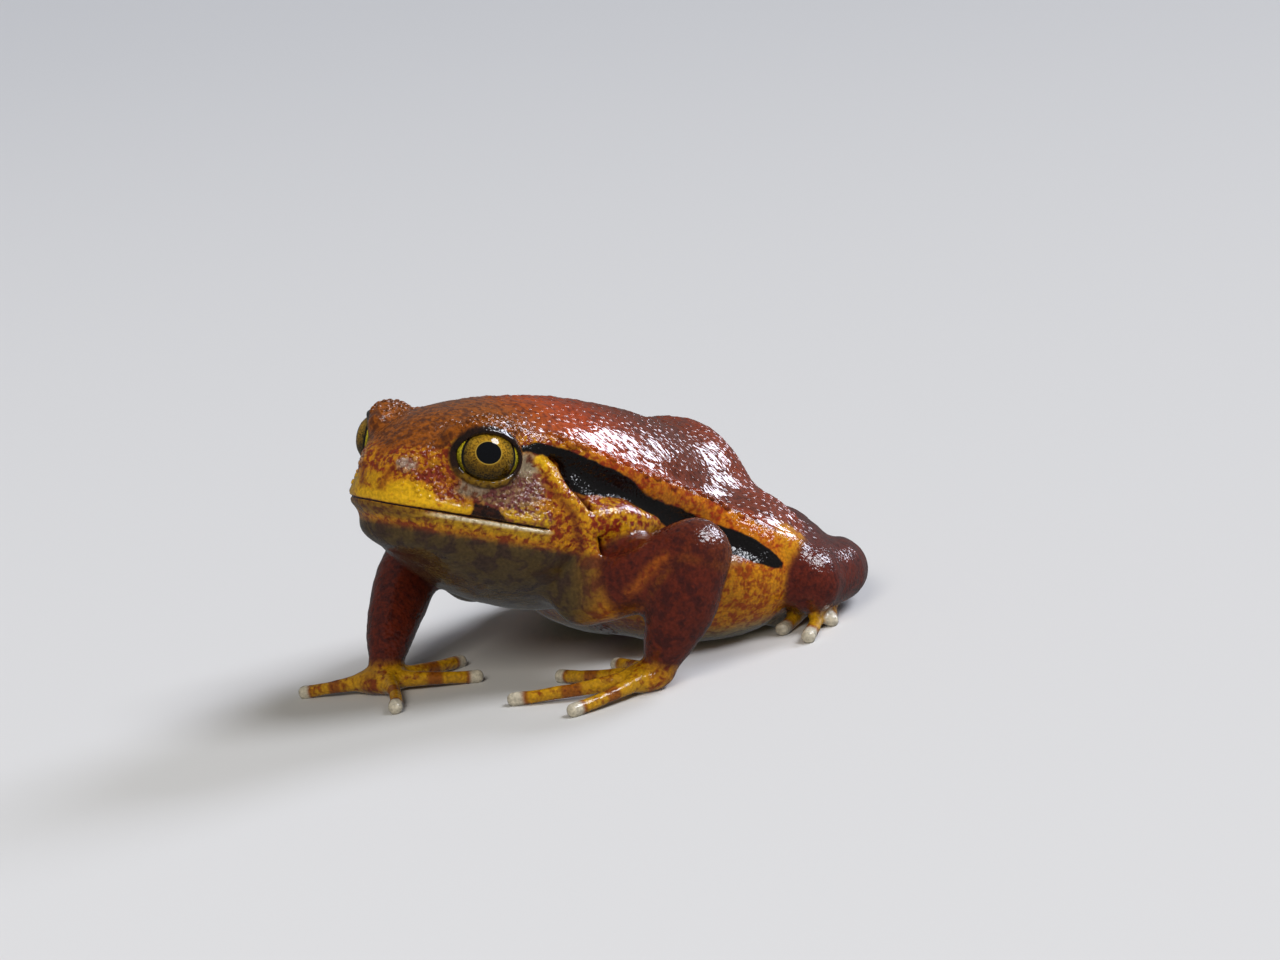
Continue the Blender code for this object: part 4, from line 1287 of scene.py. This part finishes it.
wet_skin = frog_skin("wet_frog_skin")
print(wet_skin.name, "has", len(wet_skin.node_tree.nodes), "nodes")

# %% [markdown]
# A real frog's snout, lids and cheeks are covered in small glassy warts, its back in narrow slanting
# welts, and a row of beads runs along the ridge. They repeat by the hundred, so Geometry Nodes strew
# them on the skin. Each keeps the colours of the skin under it, because it carries the same values.

# %% Where warts, welts and beads grow, and which way they run
warty = near(head_masses((8.0, -6.0, -4.0), (3.6, 5.0, 2.6)), 2.0)
warty = np.maximum(warty, near(head_masses((13.0, 2.0, -4.4), (3.6, 5.6, 3.6)), 1.5))
warty = np.maximum(warty, 0.8 * near(head_masses((9.6, -0.6, 4.6), (4.6, 5.0, 2.4)), 1.5))
warty = np.maximum(warty, near(head_masses((4.8, -9.4, -2.6), (2.0, 2.2, 1.3)), 0.8))
warty = warty * (rim_gap > 0.5) * ramp(mouth, 1.0, 1.8) * (from_places(skin, NOSTRILS) > 0.9)
welted = ramp(height, 1.0, 2.0) * behind_head * (1 - ramp(skin[:, 1], 20, 26))
beaded = (np.abs(height - 0.35) < 0.45) * behind_head * (1 - ramp(skin[:, 1], 9, 12)) * (band > 0.4)

carry(skin_mesh, "warty", "FLOAT", warty)
carry(skin_mesh, "welted", "FLOAT", welted)
carry(skin_mesh, "beaded", "FLOAT", beaded)
carry(skin_mesh, "run", "FLOAT_VECTOR", np.where(beaded[:, None] > 0.05, line_way, slant_way))

skin_piece = finished("skin", skin_mesh, wet_skin)

# %% [markdown]
# The tree spreads points over the skin, never closer than the spacing, and more thickly where the named
# attribute is high. Each point gets a small ball, turned along the run of the skin, flattened and a
# little larger or smaller by chance. The export drops instances, so the tree makes them real at its end.

# %% The node tree that strews them
MOST_PER_SQUARE_METRE = 4.0e6
LEAST_SIZE = 0.7
MOST_SIZE = 1.3


def strewing_tree(name):
    """Flattened balls on the skin, more where an attribute is high, long along another."""
    tree = bpy.data.node_groups.new(name, "GeometryNodeTree")
    face = tree.interface
    face.new_socket("Geometry", in_out="INPUT", socket_type="NodeSocketGeometry")
    face.new_socket("Geometry", in_out="OUTPUT", socket_type="NodeSocketGeometry")
    for label, kind in (("Grows by", "String"), ("Spacing", "Float"), ("Size", "Vector"),
                        ("Sunk", "Float"), ("Seed", "Int"), ("Finish", "Material")):
        face.new_socket(label, in_out="INPUT", socket_type="NodeSocket" + kind)
    given = add_node(tree, "NodeGroupInput").outputs
    amount = add_node(tree, "GeometryNodeInputNamedAttribute", {"Name": given["Grows by"]}, data_type="FLOAT")
    run = add_node(tree, "GeometryNodeInputNamedAttribute", {"Name": "run"}, data_type="FLOAT_VECTOR")
    strewn = add_node(tree, "GeometryNodeDistributePointsOnFaces", {
        "Mesh": given["Geometry"], "Distance Min": given["Spacing"], "Density Max": MOST_PER_SQUARE_METRE,
        "Density Factor": amount.outputs[0], "Seed": given["Seed"]}, distribute_method="POISSON")
    turned = add_node(tree, "FunctionNodeAlignRotationToVector", {
        "Rotation": strewn.outputs["Rotation"], "Vector": run.outputs[0]}, axis="X", pivot_axis="Z")
    ball = add_node(tree, "GeometryNodeMeshUVSphere", {"Segments": 8, "Rings": 5, "Radius": 1.0})
    sinking = add_node(tree, "ShaderNodeMath", {0: given["Sunk"], 1: -1.0}, operation="MULTIPLY")
    down = add_node(tree, "ShaderNodeCombineXYZ", {2: sinking})
    sunk = add_node(tree, "GeometryNodeTransform", {"Geometry": ball.outputs["Mesh"], "Translation": down})
    chance = add_node(tree, "FunctionNodeRandomValue", {2: LEAST_SIZE, 3: MOST_SIZE, "Seed": given["Seed"]})
    size = add_node(tree, "ShaderNodeVectorMath", {
        0: given["Size"], 1: chance.outputs[1]}, operation="MULTIPLY")
    placed = add_node(tree, "GeometryNodeInstanceOnPoints", {
        "Points": strewn.outputs["Points"], "Instance": sunk, "Rotation": turned, "Scale": size})
    real = add_node(tree, "GeometryNodeRealizeInstances", {0: placed})
    done = add_node(tree, "GeometryNodeSetMaterial", {"Geometry": real, "Material": given["Finish"]})
    add_node(tree, "NodeGroupOutput", {0: done})
    return tree


def strewn_on_skin(name, tree, values):
    """Runs the tree on the skin and keeps the result as a plain mesh."""
    piece = new_object(name, skin_mesh)
    modifier = piece.modifiers.new("strewn", "NODES")
    modifier.node_group = tree
    socket = {item.name: item.identifier for item in tree.interface.items_tree if item.in_out == "INPUT"}
    for label, value in values.items():
        modifier[socket[label]] = value
    evaluated = piece.evaluated_get(bpy.context.evaluated_depsgraph_get())
    mesh = bpy.data.meshes.new_from_object(evaluated)
    piece.modifiers.clear()
    piece.data = mesh
    mesh.name = name
    mesh.shade_smooth()
    print(name, "has", len(mesh.polygons), "faces")
    return piece


tree = strewing_tree("strewn_on_skin")
print("the tree has", len(tree.nodes), "nodes")

# %% [markdown]
# Warts are round and stand close together. Welts are long and half sunk in the skin, so that only their
# backs show. Beads stand proud in one row, along the crest where the light runs. One tree makes all
# three, because its sizes are inputs.

# %% Warts, welts and beads
# Name, the attribute it grows by, spacing, half sizes, how far sunk as a share of its height, and seed
STREWN = [
    ("snout_warts", "warty", 0.58, (0.42, 0.42, 0.30), 0.3, 3),
    ("back_welts", "welted", 1.15, (0.80, 0.46, 0.24), 0.7, 4),
    ("ridge_beads", "beaded", 0.95, (0.85, 0.60, 0.46), 0.2, 5),
]
strewn_pieces = []
for name, grows_by, spacing, size, sunk, seed in STREWN:
    strewn_pieces.append(strewn_on_skin(name, tree, {
        "Grows by": grows_by, "Spacing": spacing * MM, "Size": tuple(part * MM for part in size),
        "Sunk": sunk, "Seed": seed, "Finish": wet_skin}))

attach(skin_piece, "root")
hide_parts(*[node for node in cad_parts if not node.startswith("eye")])
for piece in strewn_pieces:
    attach(piece, "root")

# %% [markdown]
# The eye is a golden ball with a black pupil, wider than it is high and set a little above the middle,
# in a thin bright ring. A dark line runs round the iris, and a yellow ring shows outside it at the
# corners. A ball of fine faces carries each point's place on the eye, so that the rings can be drawn as
# true curves in the material. In front it bulges a little more, as a cornea does.

# %% The shape of the eye
EYE_STEPS = 48
CORNEA_BULGE = 0.30
BULGE_FROM = 1.5
IRIS_RADIUS = 3.7


def eyeball_mesh(name, side):
    work = bmesh.new()
    bmesh.ops.create_uvsphere(work, u_segments=EYE_STEPS, v_segments=EYE_STEPS // 2, radius=EYEBALL_RADIUS)
    mesh = bpy.data.meshes.new(name)
    work.to_mesh(mesh)
    work.free()
    own = mesh_points(mesh)
    off_axis = np.linalg.norm(own[:, :2], axis=1)
    bulge = CORNEA_BULGE * (1 - ramp(off_axis, BULGE_FROM, IRIS_RADIUS)) * (own[:, 2] > 0)
    own += own / EYEBALL_RADIUS * bulge[:, None]
    carry(mesh, "across_iris", "FLOAT_VECTOR", own * np.array([side, 1, 1]))
    place_points(mesh, on_eye(side, (0, 0, 0)) + own @ eye_axes(side).T)
    return mesh


eye_meshes = {name: eyeball_mesh("eyeball_" + name, side) for name, side in SIDES.items()}
print("each eyeball has", len(eye_meshes["left"].polygons), "faces")

# %% [markdown]
# The iris is a disc of golden fibres with dark veins, under the clear cornea. A disc of its own would
# need a hollow cornea over it. Painted on the ball, and lit from above by the material's own shading
# from brown to gold, it looks as deep. The rings are colours by distance, one set for the pupil and one
# for the iris, because the pupil isn't round and doesn't sit in the middle. A cornea's IOR is about
# 1.38, and 1.6 gives the glint that the wet eye shows.

# %% Golden iris under the cornea
PUPIL_AT = (-0.08, 0.55)
IRIS_AT = (0.12, 0.05)
PUPIL_STRETCH = 0.88
PUPIL_STOPS = [(0.0, "#05060A"), (1.72, "#05060A"), (1.78, "#B8983C"), (1.86, "#A88428"), (1.98, "#6E5814")]
IRIS_STOPS = [
    (0.0, "#9A7016"), (2.4, "#866414"), (3.42, "#5C480E"), (3.54, "#0A0704"), (3.76, "#0A0704"),
    (3.84, "#A8981C"), (4.30, "#8E8416"), (4.46, "#120C06"),
]
RING_REACH = 5.0
VEINS_PER_MM = 1.8


def rings(tree, radius, stops):
    """Colours by distance from a middle, in millimetres."""
    share = add_node(tree, "ShaderNodeMapRange", {"Value": radius, "From Min": 0.0, "From Max": RING_REACH})
    ramp_node = add_node(tree, "ShaderNodeValToRGB", {0: share})
    while len(ramp_node.color_ramp.elements) < len(stops):
        ramp_node.color_ramp.elements.new(0.5)
    for element, (size, hexes) in zip(ramp_node.color_ramp.elements, stops):
        element.position = size / RING_REACH
        element.color = solid(hexes)
    return ramp_node


def from_middle(tree, place, middle, stretch):
    """Distance from a middle on the eye, with heights stretched."""
    offset = add_node(tree, "ShaderNodeVectorMath", {0: place, 1: (*middle, 0.0)}, operation="SUBTRACT")
    flat = add_node(tree, "ShaderNodeVectorMath", {
        0: offset, 1: (1.0, 1.0 / stretch, 0.0)}, operation="MULTIPLY")
    return add_node(tree, "ShaderNodeVectorMath", {0: flat}, operation="LENGTH")


def iris_material():
    material, tree = new_material("golden_iris_under_cornea")
    place = add_node(tree, "ShaderNodeAttribute", attribute_name="across_iris").outputs["Vector"]
    up = add_node(tree, "ShaderNodeSeparateXYZ", {0: place}).outputs["Y"]
    to_pupil = from_middle(tree, place, PUPIL_AT, PUPIL_STRETCH)
    veins = add_node(tree, "ShaderNodeTexNoise", {
        "Vector": place, "Scale": VEINS_PER_MM, "Detail": 8.0, "Distortion": 2.2})
    dark_veins = add_node(tree, "ShaderNodeMapRange", {
        "Value": veins, "From Min": 0.40, "From Max": 0.60, "To Min": 0.30, "To Max": 1.45})
    lit = add_node(tree, "ShaderNodeMapRange", {
        "Value": up, "From Min": -2.8, "From Max": 2.4, "To Min": 0.22, "To Max": 1.65},
        interpolation_type="SMOOTHSTEP")
    shade = add_node(tree, "ShaderNodeMath", {0: dark_veins, 1: lit}, operation="MULTIPLY")
    golden = rings(tree, from_middle(tree, place, IRIS_AT, 1.0), IRIS_STOPS)
    iris = add_node(tree, "ShaderNodeVectorMath", {0: golden, 1: shade}, operation="MULTIPLY")
    in_pupil = add_node(tree, "ShaderNodeMapRange", {
        "Value": to_pupil, "From Min": 1.88, "From Max": 1.98, "To Min": 1.0, "To Max": 0.0},
        interpolation_type="SMOOTHSTEP")
    colour = add_node(tree, "ShaderNodeMix", {
        "Factor": in_pupil, 6: iris, 7: rings(tree, to_pupil, PUPIL_STOPS)}, data_type="RGBA")
    shader = add_node(tree, "ShaderNodeBsdfPrincipled", {
        "Base Color": colour, "Roughness": 0.5, "Specular IOR Level": 0.0, "Coat Weight": 1.0,
        "Coat Roughness": 0.02, "Coat IOR": 1.6})
    add_node(tree, "ShaderNodeOutputMaterial", {"Surface": shader})
    return material


iris = iris_material()
for name in SIDES:
    eyeball = finished("eyeball_" + name, eye_meshes[name], iris)
    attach(eyeball, "root")
    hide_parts("eye_" + name)
print(iris.name, "has", len(iris.node_tree.nodes), "nodes")

# %% [markdown]
# The camera stands where the photograph was taken from: in front of the frog's left shoulder, a little
# above it, and rolled a few degrees. Its place is worked out from one point of the frog, the middle of
# the upper lip, and the pixel where the photograph shows that point.

# %% Camera
AZIMUTH = math.radians(45)
ELEVATION = math.radians(11.5)
ROLL = math.radians(6.5)
DISTANCE = 420.0
FOCAL_PIXELS = 3024.0
FRAME_SIZE = (1280, 960)
ANCHOR = np.array((0.0, -45.0, 33.0))
ANCHOR_PIXEL = (375, 490)
SENSOR_WIDTH = 36.0

back_way = np.array([
    math.sin(AZIMUTH) * math.cos(ELEVATION), -math.cos(AZIMUTH) * math.cos(ELEVATION), math.sin(ELEVATION)])
right_way = np.array([math.cos(AZIMUTH), math.sin(AZIMUTH), 0.0])
up_way = np.cross(back_way, right_way)
right_way = math.cos(ROLL) * right_way - math.sin(ROLL) * up_way
up_way = np.cross(back_way, right_way)
u = (ANCHOR_PIXEL[0] - FRAME_SIZE[0] / 2) / FOCAL_PIXELS
v = (FRAME_SIZE[1] / 2 - ANCHOR_PIXEL[1]) / FOCAL_PIXELS
camera_place = ANCHOR - (u * DISTANCE * right_way + v * DISTANCE * up_way - DISTANCE * back_way)

lens = bpy.data.cameras.new("camera")
lens.sensor_width = SENSOR_WIDTH
lens.lens = FOCAL_PIXELS / FRAME_SIZE[0] * SENSOR_WIDTH
lens.clip_start = 0.01
camera = new_object("camera", lens)
columns = np.column_stack([right_way, up_way, back_way])
camera.matrix_world = Matrix.Translation((camera_place + MOVE) * MM) @ Matrix(columns.tolist()).to_4x4()
bpy.context.scene.camera = camera
print("lens", round(lens.lens, 1), "mm, camera at", (camera_place + MOVE).round(1))

# %% [markdown]
# The frog sits on matt backdrop paper, pale and without gloss. A broad light low behind it lies broken
# on the wet back. A second one overhead lights the floor and shows as a small window in the eye.
# Both are sun lamps with wide discs, so that the floor is lit evenly. A soft box fills the face. Wet
# skin would mirror the pale floor and the soft box as a grey veil, so neither is seen in it.

# %% Floor and lights
FLOOR_REACH = 14.0
OVERHEAD = (0, 0, 1)
FILL_PLACE = np.array((0.90, -1.60, 1.40))
FILL_AIM = np.array((0.0, -0.02, 0.02))
WORLD_STRENGTH = 0.14
# Name, kind, colour, strength, width as a disc's angle or a box's side, place, and the way it lies in
LAMPS = [
    ("bright_sky", "SUN", "#EAEEFF", 1.75, {"angle": 0.38}, OVERHEAD, (0.14, 0.84, 0.52)),
    ("sky_overhead", "SUN", "#F6F8FF", 2.0, {"angle": 0.45}, OVERHEAD, (0.62, 0.42, 1.0)),
    ("front_fill", "AREA", "#FFF8EE", 26.0, {"size": 0.90}, FILL_PLACE, FILL_PLACE - FILL_AIM),
]


def facing(way):
    """Turns a lamp so that it shines from a direction."""
    way = np.array(way) / np.linalg.norm(way)
    side_way = np.cross((0, 0, 1), way)
    side_way /= np.linalg.norm(side_way)
    return Matrix(np.column_stack([side_way, np.cross(way, side_way), way]).tolist()).to_4x4()


paper, tree = new_material("pale_matt_paper")
shader = add_node(tree, "ShaderNodeBsdfPrincipled", {"Base Color": solid("#D2D2D0"), "Roughness": 0.9})
add_node(tree, "ShaderNodeOutputMaterial", {"Surface": shader})
floor_mesh = bpy.data.meshes.new("floor")
corners = [(x * FLOOR_REACH, y * FLOOR_REACH, 0) for x, y in ((-1, -1), (1, -1), (1, 1), (-1, 1))]
floor_mesh.from_pydata(corners, [], [(0, 1, 2, 3)])
floor_mesh.materials.append(paper)
floor = new_object("floor", floor_mesh)
floor.visible_glossy = False

for name, kind, hexes, strength, width, place, way in LAMPS:
    lamp = bpy.data.lights.new(name, kind)
    lamp.color = tuple(linear(hexes))
    lamp.energy = strength
    for setting, value in width.items():
        setattr(lamp, setting, value)
    light = new_object(name, lamp)
    light.matrix_world = Matrix.Translation(place) @ facing(way)
    light.visible_glossy = kind == "SUN"

world = bpy.data.worlds.new("pale_studio")
bpy.context.scene.world = world
world.use_nodes = True
world.node_tree.nodes["Background"].inputs["Color"].default_value = solid("#E6E8EA")
world.node_tree.nodes["Background"].inputs["Strength"].default_value = WORLD_STRENGTH
bpy.context.scene.view_settings.view_transform = "Standard"
print(len(LAMPS), "lamps over a floor of", 2 * FLOOR_REACH, "m")
